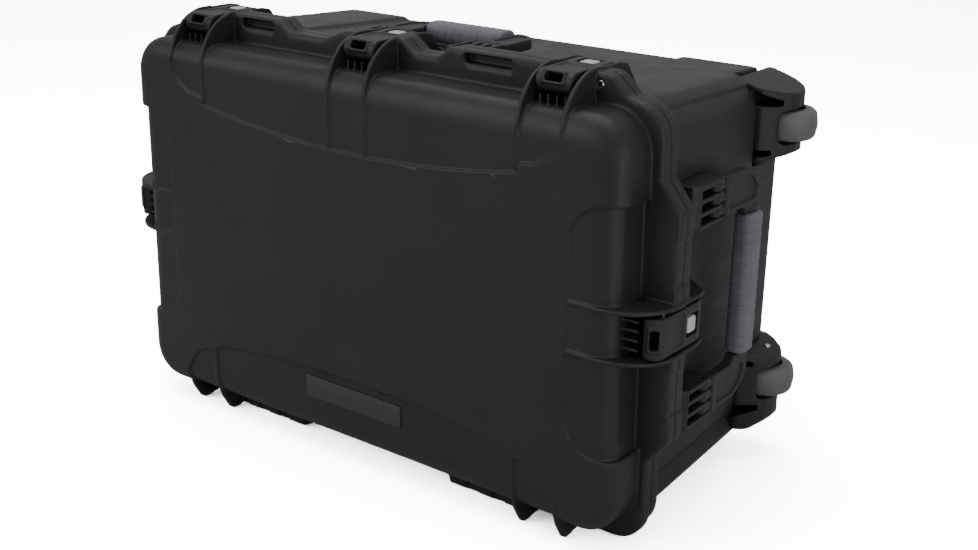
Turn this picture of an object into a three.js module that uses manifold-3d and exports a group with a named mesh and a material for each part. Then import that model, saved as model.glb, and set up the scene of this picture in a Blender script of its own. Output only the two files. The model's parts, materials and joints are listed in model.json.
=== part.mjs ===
// Large wheeled hard equipment case, standing on its hinge side with the lid facing -Y.
// Millimetres. X runs along the length, Y from the lid's face to the back, Z up.
// Shapes are drawn about the middle of the case; the outer group lifts that middle to its height.
import * as THREE from "three";
import { mergeVertices } from "three/addons/utils/BufferGeometryUtils.js";
import Module from "manifold-3d";

const wasm = await Module();
wasm.setup();

// ---------------------------------------------------------------- driving dimensions
const MIDDLE_HEIGHT = 265.5; // the middle of the case above the ground
const GAP = 0.4; // left between pieces that meet
const WALL = 5; // moulded wall thickness
const FACE_Y = -198; // lid face inside the sunk edge patches
const PANEL_RAISE = 2.5; // the middle panel stands this far out of the patches
const BACK_Y = 188.5; // back wall of the base
const PARTING_Y = -127; // plane where lid and base meet
const END_SHIFT = 146; // an end wall's features sit this much further out than the top's

const CROWN = { x: 367, top: 225.5, bottom: -238, corner: 46, edge: 28 };
const BODY = { x: 366, top: 228, bottom: -226, corner: 40, edge: 22 };
const DRAFT = 12; // how far the base's walls lean in from rim to back
const LID_RIM = { front: -143, back: PARTING_Y - GAP / 2 };
const BASE_RIM = { front: PARTING_Y + GAP / 2, back: -112 };
const RIM_BOTTOM = { lid: -262, base: -254.5 };
const RIM_SPLIT = -200; // below this height the base's rim is part of the shell

const LATCH_X = 267; // outer top latches from the middle one
const LATCH = { half: 22.5, notch: 25.5, finOuter: 30.5, pinY: -156, pinOut: 252, pinR: 2.4 };
const BARREL = { y: -164, out: 251, r: 10.5 };
const BUTTON = { y: -108.5, halfU: 9, halfY: 8, low: 254, high: 261.2 };

const HANDLE = { pinY: -38, out: 239, pinR: 3 };
const COMB = { front: -88, rear: -24, top: 247.5, slots: 3, finger: 5 };
// The top handle is shorter than the two at the ends. Inner and outer bound its hinge brackets.
const SPAN = {
  top: { gripY: 28, gripOut: 238, gripHalf: 59, inner: 52, outer: 98, corner: 30 },
  end: { gripY: 45, gripOut: 241, gripHalf: 84, inner: 92, outer: 140.5, corner: 42 },
};

const HINGE = { y: PARTING_Y, z: -255.5, r: 8.5, pinR: 3 };
const LID_KNUCKLES = [
  [122, 151],
  [166, 189],
  [203, 227],
];
const BASE_KNUCKLES = [
  [151.5, 165.5],
  [189.5, 202.5],
  [227.5, 238.5],
];
const BOTTOM_FINS_X = [242, 299];

const WHEEL = { x: 368, y: 165, z: 162, r: 35.5, width: 36, hubR: 20, axleR: 4 };
const HOUSING = {
  low: 118,
  high: 222,
  left: 324,
  front: 104,
  slantFrom: 351,
  tip: 388,
  tipLow: 131,
  tipHigh: 201,
};

const TUBE_Z = 95; // the pull handle's tubes from the middle
const TUBE_Y = 176;
const TUBE_LEFT = -350;
const OUTER_TUBE = { width: 26, depth: 15, wall: 1.6, length: 430 };
const MID_TUBE = { width: 22, depth: 11, wall: 1.6, length: 420 };
const INNER_TUBE = { width: 18, depth: 7, length: 410 };

// ---------------------------------------------------------------- materials
const plastic = new THREE.MeshStandardMaterial({ color: 0x1c1b1c, roughness: 0.62 });
const rubber = new THREE.MeshStandardMaterial({ color: 0x54555c, roughness: 0.8 });
const tyreRubber = new THREE.MeshStandardMaterial({ color: 0x3a3a3c, roughness: 0.7 });
const seal = new THREE.MeshStandardMaterial({ color: 0x111111, roughness: 0.9 });
const steel = new THREE.MeshStandardMaterial({ color: 0xb4b6b8, roughness: 0.3, metalness: 1 });
const aluminium = new THREE.MeshStandardMaterial({ color: 0x8f9194, roughness: 0.4, metalness: 1 });
const lightGrey = new THREE.MeshStandardMaterial({ color: 0xb9bbbd, roughness: 0.45 });

// ---------------------------------------------------------------- solids
function solid(geometry) {
  const bare = geometry.index ? geometry.toNonIndexed() : geometry.clone();
  bare.deleteAttribute("normal");
  bare.deleteAttribute("uv");
  const merged = mergeVertices(bare, 1e-3);
  return new wasm.Manifold(
    new wasm.Mesh({
      numProp: 3,
      vertProperties: merged.attributes.position.array,
      triVerts: new Uint32Array(merged.index.array),
    }),
  );
}

function geometryOf(manifold) {
  const { vertProperties, triVerts } = manifold.getMesh();
  const geometry = new THREE.BufferGeometry();
  geometry.setAttribute("position", new THREE.BufferAttribute(vertProperties, 3));
  geometry.setIndex(new THREE.BufferAttribute(triVerts, 1));
  const flat = geometry.toNonIndexed();
  flat.computeVertexNormals();
  return flat;
}

const union = (...parts) => parts.flat().reduce((all, part) => all.add(part));
const cut = (body, ...tools) => tools.flat().reduce((left, tool) => left.subtract(tool), body);
const moved = (manifold, matrix) => manifold.transform(matrix.elements);

// The two directions of an outline and the way it is pulled, for each axis.
const PULL = {
  x: (start) => new THREE.Matrix4().set(0, 0, 1, start, 1, 0, 0, 0, 0, 1, 0, 0, 0, 0, 0, 1),
  y: (start) => new THREE.Matrix4().set(1, 0, 0, 0, 0, 0, -1, start, 0, 1, 0, 0, 0, 0, 0, 1),
  z: (start) => new THREE.Matrix4().makeTranslation(0, 0, start),
};

// A prism: its outline is in (y, z) along x, (x, z) along y or (x, y) along z.
function prismGeometry(outline, axis, low, high, hole = null, bevel = 0, facets = 4) {
  const shape = new THREE.Shape(outline.map(([a, b]) => new THREE.Vector2(a, b)));
  if (hole) shape.holes.push(new THREE.Path(hole.map(([a, b]) => new THREE.Vector2(a, b))));
  const geometry = new THREE.ExtrudeGeometry(shape, {
    depth: high - low - 2 * bevel,
    bevelEnabled: bevel > 0,
    bevelSize: bevel,
    bevelThickness: bevel,
    bevelSegments: facets,
  });
  const start = axis === "y" ? high - bevel : low + bevel;
  return geometry.applyMatrix4(PULL[axis](start));
}

const prism = (outline, axis, low, high, hole) => solid(prismGeometry(outline, axis, low, high, hole));
const block = (x0, x1, y0, y1, z0, z1) => prism(rectangle(x0, x1, y0, y1), "z", z0, z1);

function rectangle(a0, a1, b0, b1) {
  return [
    [a0, b0],
    [a1, b0],
    [a1, b1],
    [a0, b1],
  ];
}

function arc(a, b, radius, from, to, steps) {
  return Array.from({ length: steps + 1 }, (_, i) => {
    const angle = THREE.MathUtils.degToRad(from + ((to - from) * i) / steps);
    return [a + radius * Math.cos(angle), b + radius * Math.sin(angle)];
  });
}

function roundedRectangle(a0, a1, b0, b1, r, steps = 4) {
  return [
    ...arc(a1 - r, b0 + r, r, -90, 0, steps),
    ...arc(a1 - r, b1 - r, r, 0, 90, steps),
    ...arc(a0 + r, b1 - r, r, 90, 180, steps),
    ...arc(a0 + r, b0 + r, r, 180, 270, steps),
  ];
}

// A round bar along an axis; a and b are its centre in the prism's two directions.
function rod(axis, a, b, radius, low, high, sides = 12) {
  return prism(arc(a, b, radius, 0, 360 - 360 / sides, sides - 1), axis, low, high);
}

// A rounded box with its far edge rounded too, pulled along y. One facet makes the roundings chamfers.
function shellBlock(size, inset, front, back, roundFront, facets = 4) {
  const edge = size.edge - inset;
  const grow = inset + edge;
  const outline = roundedRectangle(
    -size.x + grow,
    size.x - grow,
    size.bottom + grow,
    size.top - grow,
    Math.max(size.corner - grow, 4),
    facets,
  );
  const low = roundFront ? front : front - 2 * edge;
  const high = roundFront ? back + 2 * edge : back;
  const rounded = prismGeometry(outline, "y", low, high, null, edge, facets);
  const keep = block(-500, 500, front, back, -500, 500);
  return { rounded, keep };
}

// The lean of the base's walls: 0 at the rim, DRAFT at the back.
const leanAt = (y) => (DRAFT * (y - BASE_RIM.back)) / (BACK_Y - BASE_RIM.back);

function leaned(geometry) {
  const place = geometry.attributes.position;
  for (let i = 0; i < place.count; i += 1) {
    const lean = leanAt(place.getY(i));
    place.setX(i, place.getX(i) - Math.sign(place.getX(i)) * lean);
    place.setZ(i, place.getZ(i) - Math.sign(place.getZ(i)) * lean);
  }
  return geometry;
}

// ---------------------------------------------------------------- where repeated features sit
// Local axes: x along the edge, y as the case, z out of the wall, as on the top.
function placeOn(side, along = 0) {
  const matrix = new THREE.Matrix4().makeTranslation(along, 0, 0);
  if (side === "top") return matrix;
  const turn = side === "right" ? Math.PI / 2 : -Math.PI / 2;
  const shift = side === "right" ? END_SHIFT : -END_SHIFT;
  return new THREE.Matrix4()
    .makeTranslation(shift, 0, 0)
    .multiply(new THREE.Matrix4().makeRotationY(turn))
    .multiply(matrix);
}

const LATCHES = [
  { name: "top_left", side: "top", along: -LATCH_X },
  { name: "top_middle", side: "top", along: 0 },
  { name: "top_right", side: "top", along: LATCH_X },
  { name: "end_right", side: "right", along: 0 },
  { name: "end_left", side: "left", along: 0 },
];
const HANDLES = [
  { name: "top", side: "top", span: SPAN.top },
  { name: "right", side: "right", span: SPAN.end },
  { name: "left", side: "left", span: SPAN.end },
];

// ---------------------------------------------------------------- rim outline, shared by lid and base
const mirrored = (points) => points.map(([x, z]) => [-x, z]).reverse();

// The shoulders beside the latches, from left to right along the top.
const TOP_EDGE = [
  [-336, 238.5],
  [-317, 256],
  [-308, 259],
  [-LATCH_X - LATCH.notch, 259],
  [-LATCH_X - LATCH.notch, 243],
  [-LATCH_X + LATCH.notch, 243],
  [-LATCH_X + LATCH.notch, 261],
  [-160, 261],
  [-142, 248],
  [-84, 248],
  [-52, 260],
  [-LATCH.notch, 262],
  [-LATCH.notch, 243],
  [LATCH.notch, 243],
  [LATCH.notch, 262],
  [36, 262],
  [54, 248],
  [88, 248],
  [106, 260],
  [LATCH_X - LATCH.notch, 261],
  [LATCH_X - LATCH.notch, 243],
  [LATCH_X + LATCH.notch, 243],
  [LATCH_X + LATCH.notch, 259],
  [308, 259],
  [317, 256],
  [336, 238.5],
];

const RIGHT_EDGE = [
  [381, -158],
  [405, -128],
  [405, -LATCH.notch],
  [389, -LATCH.notch],
  [389, LATCH.notch],
  [405, LATCH.notch],
  [405, 128],
  [381, 158],
];

function rimOutline(bottom) {
  const right = [...arc(343, bottom + 38, 38, -90, 0, 4), ...RIGHT_EDGE, ...arc(340, 195, 41, 0, 80, 4)];
  return [...right, ...TOP_EDGE.slice().reverse(), ...mirrored(right)];
}

// The rim is cut back along the hinge, where the knuckles of the other half pass.
const hingeClearance = [-1, 1].map((side) => {
  const [a, b] = side < 0 ? [-240, -120.5] : [120.5, 240];
  return block(a, b, -160, -100, -300, -245.5);
});

// ---------------------------------------------------------------- lid
const gasketPath = (grow) =>
  roundedRectangle(-CROWN.x - grow, CROWN.x + grow, -240 - grow, 233 + grow, CROWN.corner + grow);

function latchFin(start) {
  const curve = Array.from({ length: 9 }, (_, i) => {
    const angle = (Math.PI / 2) * (i / 8);
    return [-140 - 60.5 * Math.cos(angle), 198 + 65 * Math.sin(angle)];
  });
  return [
    [-180, Math.min(start, 190)],
    [FACE_Y - PANEL_RAISE + 0.2, start],
    ...curve.filter(([, z]) => z > start),
    [LID_RIM.back, 263],
    [LID_RIM.back, 226],
    [-172, 215],
  ].reverse();
}

function latchFins(latch) {
  const starts = latch.name === "top_left" ? [204, 160] : latch.name === "top_right" ? [160, 204] : [136, 136];
  const inner = LATCH.notch;
  const outer = LATCH.finOuter;
  const hole = rod("x", LATCH.pinY, LATCH.pinOut, LATCH.pinR + 0.3, -outer - 1, outer + 1, 10);
  const fins = [
    prism(latchFin(starts[0]), "x", -outer, -inner),
    prism(latchFin(starts[1]), "x", inner, outer),
  ];
  return fins.map((fin) => moved(cut(fin, hole), placeOn(latch.side, latch.along)));
}

function bottomFin(x, start) {
  const outline = [
    [FACE_Y - PANEL_RAISE, start],
    [-199, -215],
    [-192, -242],
    [-180, -262],
    [-174, -265.5],
    [-166, -265],
    [LID_RIM.front, -261],
    [LID_RIM.back, -261],
    [LID_RIM.back, -232],
    [-180, start],
  ];
  return prism(outline, "x", x - 3, x + 3);
}

function lidKnuckle([from, to], side) {
  const [low, high] = side > 0 ? [from, to] : [-to, -from];
  const arm = [
    [-160, -262],
    [HINGE.y, -264],
    [HINGE.y, -247.2],
    [-140, -236],
    [-172, -230],
  ];
  const drum = rod("x", HINGE.y, HINGE.z, HINGE.r, low, high, 16);
  return union(prism(arm, "x", low, high), drum);
}

function eyeletEar(side) {
  const x = side * 303;
  return { boss: rod("y", x, 247, 9, -146, LID_RIM.back, 16), hole: rod("y", x, 247, 4.6, -150, -100, 12) };
}

// The middle panel's outline: sunk patches leave it at all four edges, its corners run on.
function panelOutline() {
  const sag = (x, ends, depth) => ends + depth * (1 - (x / 285) ** 2);
  const steps = 10;
  const across = Array.from({ length: steps + 1 }, (_, i) => 285 - (570 * i) / steps);
  const edgeX = CROWN.x - CROWN.edge;
  const top = CROWN.top - CROWN.edge;
  const bottom = CROWN.bottom + CROWN.edge;
  const patch = [
    [edgeX, -112],
    ...arc(360, -60, 55, 220, 180, 3),
    ...arc(360, 60, 55, 180, 140, 3),
    [edgeX, 112],
  ];
  const right = [[edgeX, bottom + 4], ...patch, [edgeX, top - 4], [edgeX - 4, top]];
  return [
    [edgeX - 4, bottom],
    ...right,
    ...across.map((x) => [x, sag(x, top, -55)]),
    ...mirrored(right),
    [-edgeX + 4, bottom],
    ...across
      .slice()
      .reverse()
      .map((x) => [x, sag(x, bottom, 62)]),
  ];
}

function lidShell() {
  const outer = shellBlock(CROWN, 0, FACE_Y, LID_RIM.back, true);
  const inner = shellBlock(CROWN, WALL, FACE_Y + WALL, LID_RIM.back + 1, true);
  const crown = solid(outer.rounded).intersect(outer.keep);
  const cavity = solid(inner.rounded).intersect(block(-500, 500, FACE_Y + WALL, 0, -500, 500));
  const rim = cut(prism(rimOutline(RIM_BOTTOM.lid), "y", LID_RIM.front, LID_RIM.back), hingeClearance);
  const panel = prism(panelOutline(), "y", FACE_Y - PANEL_RAISE, FACE_Y + 1);
  const groove = prism(gasketPath(4.6), "y", LID_RIM.back - 4, LID_RIM.back + 1, gasketPath(-0.4).reverse());
  const ears = [-1, 1].map(eyeletEar);
  const body = union(
    crown,
    rim,
    panel,
    LATCHES.flatMap(latchFins),
    [-1, 1].flatMap((side) => [
      bottomFin(side * BOTTOM_FINS_X[0], -175),
      bottomFin(side * BOTTOM_FINS_X[1], -212),
      ...LID_KNUCKLES.map((knuckle) => lidKnuckle(knuckle, side)),
    ]),
    ears.map((ear) => ear.boss),
  );
  const pinHoles = [-1, 1].map((side) => hingePinRod(side, HINGE.pinR + 0.3));
  return cut(body, cavity, groove, ears.map((ear) => ear.hole), pinHoles);
}

const lidGasket = () =>
  prism(gasketPath(4.2), "y", LID_RIM.back - 3.6, LID_RIM.back, gasketPath(0).reverse());

const eyelet = (side) =>
  cut(rod("y", side * 303, 247, 4.2, -148, -128, 16), rod("y", side * 303, 247, 2.8, -149, -127, 12));

// ---------------------------------------------------------------- base
function latchFlanks(latch) {
  const outline = [
    [-60, 226],
    [-84, 259],
    [-96, 262],
    [BASE_RIM.front, 262],
    [BASE_RIM.front, 226],
  ];
  return [-1, 1].map((side) => {
    const [low, high] = side < 0 ? [-LATCH.finOuter, -LATCH.notch] : [LATCH.notch, LATCH.finOuter];
    return moved(prism(outline, "x", low, high), placeOn(latch.side, latch.along));
  });
}

// Raised pads on the top and skids on the hinge side; they lean with the wall they stand on.
function wallPads(side) {
  const face = (points) => (side < 0 ? mirrored(points) : points);
  const pad = [
    [225, 215],
    [340, 215],
    [355, 222],
    [340, 230],
    [326, 232.5],
    [232, 232.5],
  ];
  const skid = [
    [128, -215],
    [134, -241],
    [352, -241],
    [361, -236],
    [365, -226],
    [352, -205],
  ];
  const starts = [BASE_RIM.back + GAP, -115];
  return [pad, skid].map((outline, i) => solid(leaned(prismGeometry(face(outline), "y", starts[i], 168))));
}

function skidRib(x) {
  const outline = [
    [-108, -225],
    [-108, -256],
    [-98, -265.5],
    [160, -265.5],
    [176, -250],
    [176, -225],
  ];
  return prism(outline, "x", x - 3, x + 3);
}

function baseKnuckle([from, to], side) {
  const [low, high] = side > 0 ? [from, to] : [-to, -from];
  const arm = [
    [HINGE.y, -264],
    [-104, -262],
    [-98, -230],
    [-115, -230],
    [HINGE.y, -247.2],
  ];
  const drum = rod("x", HINGE.y, HINGE.z, HINGE.r, low, high, 16);
  return union(prism(arm, "x", low, high), drum);
}

function hingePinRod(side, radius) {
  const [low, high] = side > 0 ? [121, 239.5] : [-239.5, -121];
  return rod("x", HINGE.y, HINGE.z, radius, low, high, 12);
}

// Corner notches that take the wheel housings, and the recess for the pull handle's tubes.
const housingNotch = (side, grow) => {
  const [low, high] = [HOUSING.low - GAP - grow, HOUSING.high + GAP + grow];
  const [z0, z1] = side > 0 ? [low, high] : [-high, -low];
  return block(HOUSING.left - GAP - grow, 420, HOUSING.front - GAP - grow, 220, z0, z1);
};
const tubeRecess = (grow) => block(-420, 92 + grow, 166 - grow, 220, -118 - grow, 118 + grow);

const earHoles = () => [-1, 1].map((side) => rod("y", side * 303, 247, 4.6, -150, -100, 12));

function baseFlange() {
  return cut(prism(rimOutline(RIM_BOTTOM.base), "y", BASE_RIM.front, BASE_RIM.back), hingeClearance);
}

function tubOutside(grow) {
  const block = shellBlock(BODY, -grow, BASE_RIM.front, BACK_Y, false);
  return solid(leaned(block.rounded)).intersect(block.keep);
}

// The rim's top and ends, with the plates that flank the latches.
function baseRim() {
  const above = block(-500, 500, -200, 0, RIM_SPLIT, 500);
  const pads = [-1, 1].flatMap(wallPads);
  const raisedPads = pads.map((pad) => pad.translate(0, 0, GAP));
  const flange = union(baseFlange().intersect(above), LATCHES.flatMap(latchFlanks));
  return cut(flange, tubOutside(GAP), pads, raisedPads, earHoles());
}

function baseShell() {
  const inner = shellBlock(BODY, WALL, BASE_RIM.front, BACK_Y - WALL, false, 1);
  const hollow = solid(leaned(inner.rounded)).intersect(block(-500, 500, -200, BACK_Y - WALL, -500, 500));
  const cavity = cut(hollow, housingNotch(1, WALL), housingNotch(-1, WALL), tubeRecess(WALL));
  const below = block(-500, 500, -200, 0, -500, RIM_SPLIT - GAP);
  const added = union(
    tubOutside(0),
    baseFlange().intersect(below),
    [-1, 1].flatMap((side) => [
      ...wallPads(side),
      ...BOTTOM_FINS_X.map((x) => skidRib(side * x)),
      ...BASE_KNUCKLES.map((knuckle) => baseKnuckle(knuckle, side)),
    ]),
  );
  const pinHoles = [-1, 1].map((side) => hingePinRod(side, HINGE.pinR + 0.3));
  return cut(added, cavity, housingNotch(1, 0), housingNotch(-1, 0), tubeRecess(0), pinHoles);
}

// ---------------------------------------------------------------- latches
function latchLever() {
  const profile = [
    [-104.5, 251],
    [-104.5, 237],
    [-106, 235.5],
    [-110.8, 237],
    [-110.8, 246],
    [-150, 246],
    ...arc(BARREL.y, BARREL.out, BARREL.r, 300, 90, 12),
    [-98, 261.5],
    [-88, 259],
    [-84, 254],
    [-86, 251],
  ];
  const lever = prism(profile.reverse(), "x", -LATCH.half, LATCH.half);
  const slotTurn = new THREE.Matrix4()
    .makeTranslation(0, BARREL.y, BARREL.out)
    .multiply(new THREE.Matrix4().makeRotationX(THREE.MathUtils.degToRad(45)));
  const slot = moved(block(-14, 14, -3.2, 3.2, -20, 20), slotTurn);
  const bore = rod("x", LATCH.pinY, LATCH.pinOut, LATCH.pinR + 0.3, -30, 30, 10);
  const windowPocket = block(
    -BUTTON.halfU - 4,
    BUTTON.halfU + 4,
    BUTTON.y - BUTTON.halfY - 0.5,
    BUTTON.y + BUTTON.halfY + 0.5,
    250.5,
    270,
  );
  return cut(lever, slot, bore, windowPocket);
}

const latchPin = () => rod("x", LATCH.pinY, LATCH.pinOut, LATCH.pinR, -LATCH.finOuter, LATCH.finOuter, 10);

function lockButton() {
  const outline = roundedRectangle(
    -BUTTON.halfU,
    BUTTON.halfU,
    BUTTON.y - BUTTON.halfY,
    BUTTON.y + BUTTON.halfY,
    3,
    2,
  );
  return prism(outline, "z", BUTTON.low, BUTTON.high);
}

// ---------------------------------------------------------------- carry handles
const combPitch = (span) => (span.outer - span.inner - COMB.finger) / COMB.slots;
const slotStart = (span, i) => span.inner + COMB.finger + i * combPitch(span);
const slotWidth = (span) => combPitch(span) - COMB.finger;
const onFlank = (piece, flank) => (flank > 0 ? piece : piece.mirror([1, 0, 0]));

// The wall under a handle, in local axes: on the ends the same after the shift.
const wallOut = (side, y) => (side === "top" ? BODY.top : BODY.x - END_SHIFT) - leanAt(y);

function handleComb({ side, span }, flank) {
  const outline = [
    [COMB.front, wallOut(side, COMB.front) + GAP],
    [COMB.rear, wallOut(side, COMB.rear) + GAP],
    [COMB.rear, 244],
    [HANDLE.pinY + 6, COMB.top],
    [COMB.front + 8, COMB.top],
    [COMB.front, 240],
  ];
  const comb = prism(outline, "x", span.inner, span.outer);
  const slots = Array.from({ length: COMB.slots }, (_, i) => {
    const from = slotStart(span, i);
    return block(from, from + slotWidth(span), -78, 0, 229, 260);
  });
  const bore = rod("x", HANDLE.pinY, HANDLE.out, HANDLE.pinR + 0.3, span.inner - 10, span.outer + 10, 12);
  return onFlank(cut(comb, slots, bore), flank);
}

const handlePin = ({ span }, flank) =>
  onFlank(rod("x", HANDLE.pinY, HANDLE.out, HANDLE.pinR, span.inner - 1, span.outer + 1, 12), flank);

function handleFrame({ span }) {
  const outerY = span.gripY + 17;
  const armOuter = span.outer - 1.5;
  const knuckleR = 8;
  const knuckles = Array.from({ length: COMB.slots }, (_, i) => {
    const from = slotStart(span, i) + 0.5;
    const to = from + slotWidth(span) - 1;
    return union(
      rod("x", HANDLE.pinY, HANDLE.out, knuckleR, from, to, 14),
      block(from, to, HANDLE.pinY, -10, HANDLE.out - 5, HANDLE.out + 6),
    );
  });
  const plate = prism(
    [
      [span.inner + 2, -22],
      [armOuter, -22],
      ...arc(armOuter - span.corner, outerY - span.corner, span.corner, 0, 80, 4),
      [span.gripHalf + 1, outerY],
      [span.gripHalf + 1, outerY - 34],
      [span.inner + 2, outerY - 40],
    ],
    "z",
    HANDLE.out - 6,
    HANDLE.out + 7,
  );
  const arms = [-1, 1].map((flank) => onFlank(union(plate, knuckles), flank));
  const reach = span.gripHalf + 8;
  const { gripY: y, gripOut: out } = span;
  const bar = block(-reach, reach, y - 9, y + 9, out - 6, out + 6);
  const bore = rod("x", HANDLE.pinY, HANDLE.out, HANDLE.pinR + 0.3, -150, 150, 12);
  return cut(union(arms, bar), bore);
}

function handleGrip({ span: { gripY: y, gripOut: out, gripHalf: half } }) {
  const section = roundedRectangle(y - 17, y + 17, out - 13, out + 13, 11, 4);
  const core = rectangle(y - 9 - GAP, y + 9 + GAP, out - 6 - GAP, out + 6 + GAP).reverse();
  return prism(section, "x", -half, half, core);
}

// ---------------------------------------------------------------- wheels
function lathe(profile, x, y, z) {
  const points = profile.map(([r, h]) => new THREE.Vector2(r, h));
  const geometry = new THREE.LatheGeometry([...points, points[0].clone()], 28);
  geometry.rotateX(Math.PI / 2);
  geometry.translate(x, y, z);
  const made = solid(geometry);
  return made.volume() > 0 ? made : solid(flipped(geometry));
}

function flipped(geometry) {
  const index = geometry.index.array;
  for (let i = 0; i < index.length; i += 3) {
    [index[i + 1], index[i + 2]] = [index[i + 2], index[i + 1]];
  }
  return geometry;
}

function tyre(side) {
  const half = WHEEL.width / 2;
  const { r, hubR } = WHEEL;
  const profile = [
    [hubR + 0.3, -half],
    [r - 8, -half],
    [r - 2.5, -half + 3],
    [r, -half + 9],
    [r, half - 9],
    [r - 2.5, half - 3],
    [r - 8, half],
    [hubR + 0.3, half],
  ];
  return lathe(profile, WHEEL.x, WHEEL.y, side * WHEEL.z);
}

function hub(side) {
  const half = WHEEL.width / 2;
  const profile = [
    [WHEEL.axleR + 0.3, -half - 1],
    [9, -half - 1],
    [10, -half + 4],
    [WHEEL.hubR, -half + 4],
    [WHEEL.hubR, half - 4],
    [10, half - 4],
    [9, half + 1],
    [WHEEL.axleR + 0.3, half + 1],
  ];
  return lathe(profile, WHEEL.x, WHEEL.y, side * WHEEL.z);
}

const spanOf = (side) => (low, high) => (side > 0 ? [low, high] : [-high, -low]);
const facing = (side, outline) => (side > 0 ? outline : outline.map(([x, z]) => [x, -z]).reverse());

function axle(side) {
  return rod("z", WHEEL.x, WHEEL.y, WHEEL.axleR, ...spanOf(side)(122.5, 196), 14);
}

// A fork with a sloping roof and floor, open around the wheel, with a pocket behind each slope.
function wheelHousing(side) {
  const span = spanOf(side);
  const { low, high, left, front, slantFrom, tip, tipLow, tipHigh } = HOUSING;
  const plan = [
    [left, front + 3],
    [359, front + 6],
    [tip - 13, 120],
    [tip - 3, 136],
    [tip, 152],
    [tip - 2, 172],
    [tip - 8, 184],
    [tip - 18, 192],
    [tip - 30, 196],
    [left, 196],
  ];
  const section = [
    [left - 1, low],
    [slantFrom, low],
    [tip, tipLow],
    [tip + 1, tipHigh],
    [slantFrom, high],
    [left - 1, high],
  ];
  const upperPocket = [
    [slantFrom, 189],
    [tip - 9, 189],
    [tip - 9, 196],
    [slantFrom, 209],
  ];
  const lowerPocket = [
    [slantFrom, 124],
    [tip - 16, 130],
    [tip - 16, 136],
    [slantFrom, 136],
  ];
  const body = prism(plan, "z", ...span(low, high)).intersect(prism(facing(side, section), "y", 90, 210));
  const [wellLow, wellHigh] = span(WHEEL.z - WHEEL.width / 2 - 2, WHEEL.z + WHEEL.width / 2 + 2);
  const well = union(
    rod("z", WHEEL.x, WHEEL.y, WHEEL.r + 3, wellLow, wellHigh, 24),
    block(WHEEL.x + 2, 430, 90, 230, wellLow, wellHigh),
  );
  const pockets = [upperPocket, lowerPocket].map((outline) => prism(facing(side, outline), "y", 90, 150));
  const bore = rod("z", WHEEL.x, WHEEL.y, WHEEL.axleR + 0.3, ...span(low - 5, 196.4), 14);
  return cut(body, well, pockets, bore);
}

// ---------------------------------------------------------------- pull handle
function tube(size, side, core) {
  const z = side * TUBE_Z;
  const section = (grow) => [
    TUBE_Y - size.depth / 2 - grow,
    TUBE_Y + size.depth / 2 + grow,
    z - size.width / 2 - grow,
    z + size.width / 2 + grow,
  ];
  const bar = prism(roundedRectangle(...section(0), 3, 2), "x", TUBE_LEFT, TUBE_LEFT + size.length);
  if (!core) return bar;
  const hollow = roundedRectangle(...section(-size.wall), 1.6, 2);
  return cut(bar, prism(hollow, "x", TUBE_LEFT - 1, TUBE_LEFT + size.length + 1));
}

function pullGrip() {
  const section = roundedRectangle(-378, -357, TUBE_Y - 9, TUBE_Y + 9, 7, 3);
  const bar = prism(section, "z", -112, 112);
  const sockets = [-1, 1].map((side) => {
    const z = side * TUBE_Z;
    return block(-362, TUBE_LEFT - GAP, TUBE_Y - 5.5, TUBE_Y + 5.5, z - 11, z + 11);
  });
  const buttonWell = block(-390, -368, TUBE_Y - 5.4, TUBE_Y + 5.4, -22.4, 22.4);
  return cut(union(bar, sockets), buttonWell);
}

const releaseButton = () => block(-380, -373, TUBE_Y - 5, TUBE_Y + 5, -22, 22);

const tubeCover = () => block(-346, 91, 185.2, 188.4, -117.4, 117.4);

// ---------------------------------------------------------------- small fittings
const blankLabel = () => block(-76, 78, FACE_Y - 1.4, FACE_Y - GAP, -189, -161);
const reliefValve = () => {
  const under = BODY.top - leanAt(SPAN.top.gripY) + GAP;
  return rod("z", 0, SPAN.top.gripY, 8, under, under + 1.8, 20);
};

// ---------------------------------------------------------------- assembly
const part = new THREE.Group();
const middle = new THREE.Group();
middle.position.z = MIDDLE_HEIGHT;
part.add(middle);

function addMesh(parent, name, manifold, material) {
  const mesh = new THREE.Mesh(geometryOf(manifold), material);
  mesh.name = name;
  parent.add(mesh);
}

function sideGroup(side, along) {
  const group = new THREE.Group();
  placeOn(side, along).decompose(group.position, group.quaternion, group.scale);
  middle.add(group);
  return group;
}

addMesh(middle, "base_shell", baseShell(), plastic);
addMesh(middle, "base_rim", baseRim(), plastic);
addMesh(middle, "lid_shell", lidShell(), plastic);
addMesh(middle, "lid_gasket", lidGasket(), seal);
addMesh(middle, "blank_label", blankLabel(), lightGrey);
addMesh(middle, "relief_valve", reliefValve(), plastic);

for (const [name, side] of [
  ["left", -1],
  ["right", 1],
]) {
  addMesh(middle, `hinge_pin_${name}`, hingePinRod(side, HINGE.pinR), steel);
  addMesh(middle, `eyelet_${name}`, eyelet(side), steel);
}

for (const latch of LATCHES) {
  const group = sideGroup(latch.side, latch.along);
  addMesh(group, `latch_${latch.name}`, latchLever(), plastic);
  addMesh(group, `latch_pin_${latch.name}`, latchPin(), steel);
  addMesh(group, `lock_button_${latch.name}`, lockButton(), lightGrey);
}

for (const handle of HANDLES) {
  const group = sideGroup(handle.side, 0);
  addMesh(group, `handle_${handle.name}`, handleFrame(handle), plastic);
  addMesh(group, `handle_grip_${handle.name}`, handleGrip(handle), rubber);
  for (const [end, flank] of [
    ["a", -1],
    ["b", 1],
  ]) {
    addMesh(group, `handle_comb_${handle.name}_${end}`, handleComb(handle, flank), plastic);
    addMesh(group, `handle_pin_${handle.name}_${end}`, handlePin(handle, flank), steel);
  }
}

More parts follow.
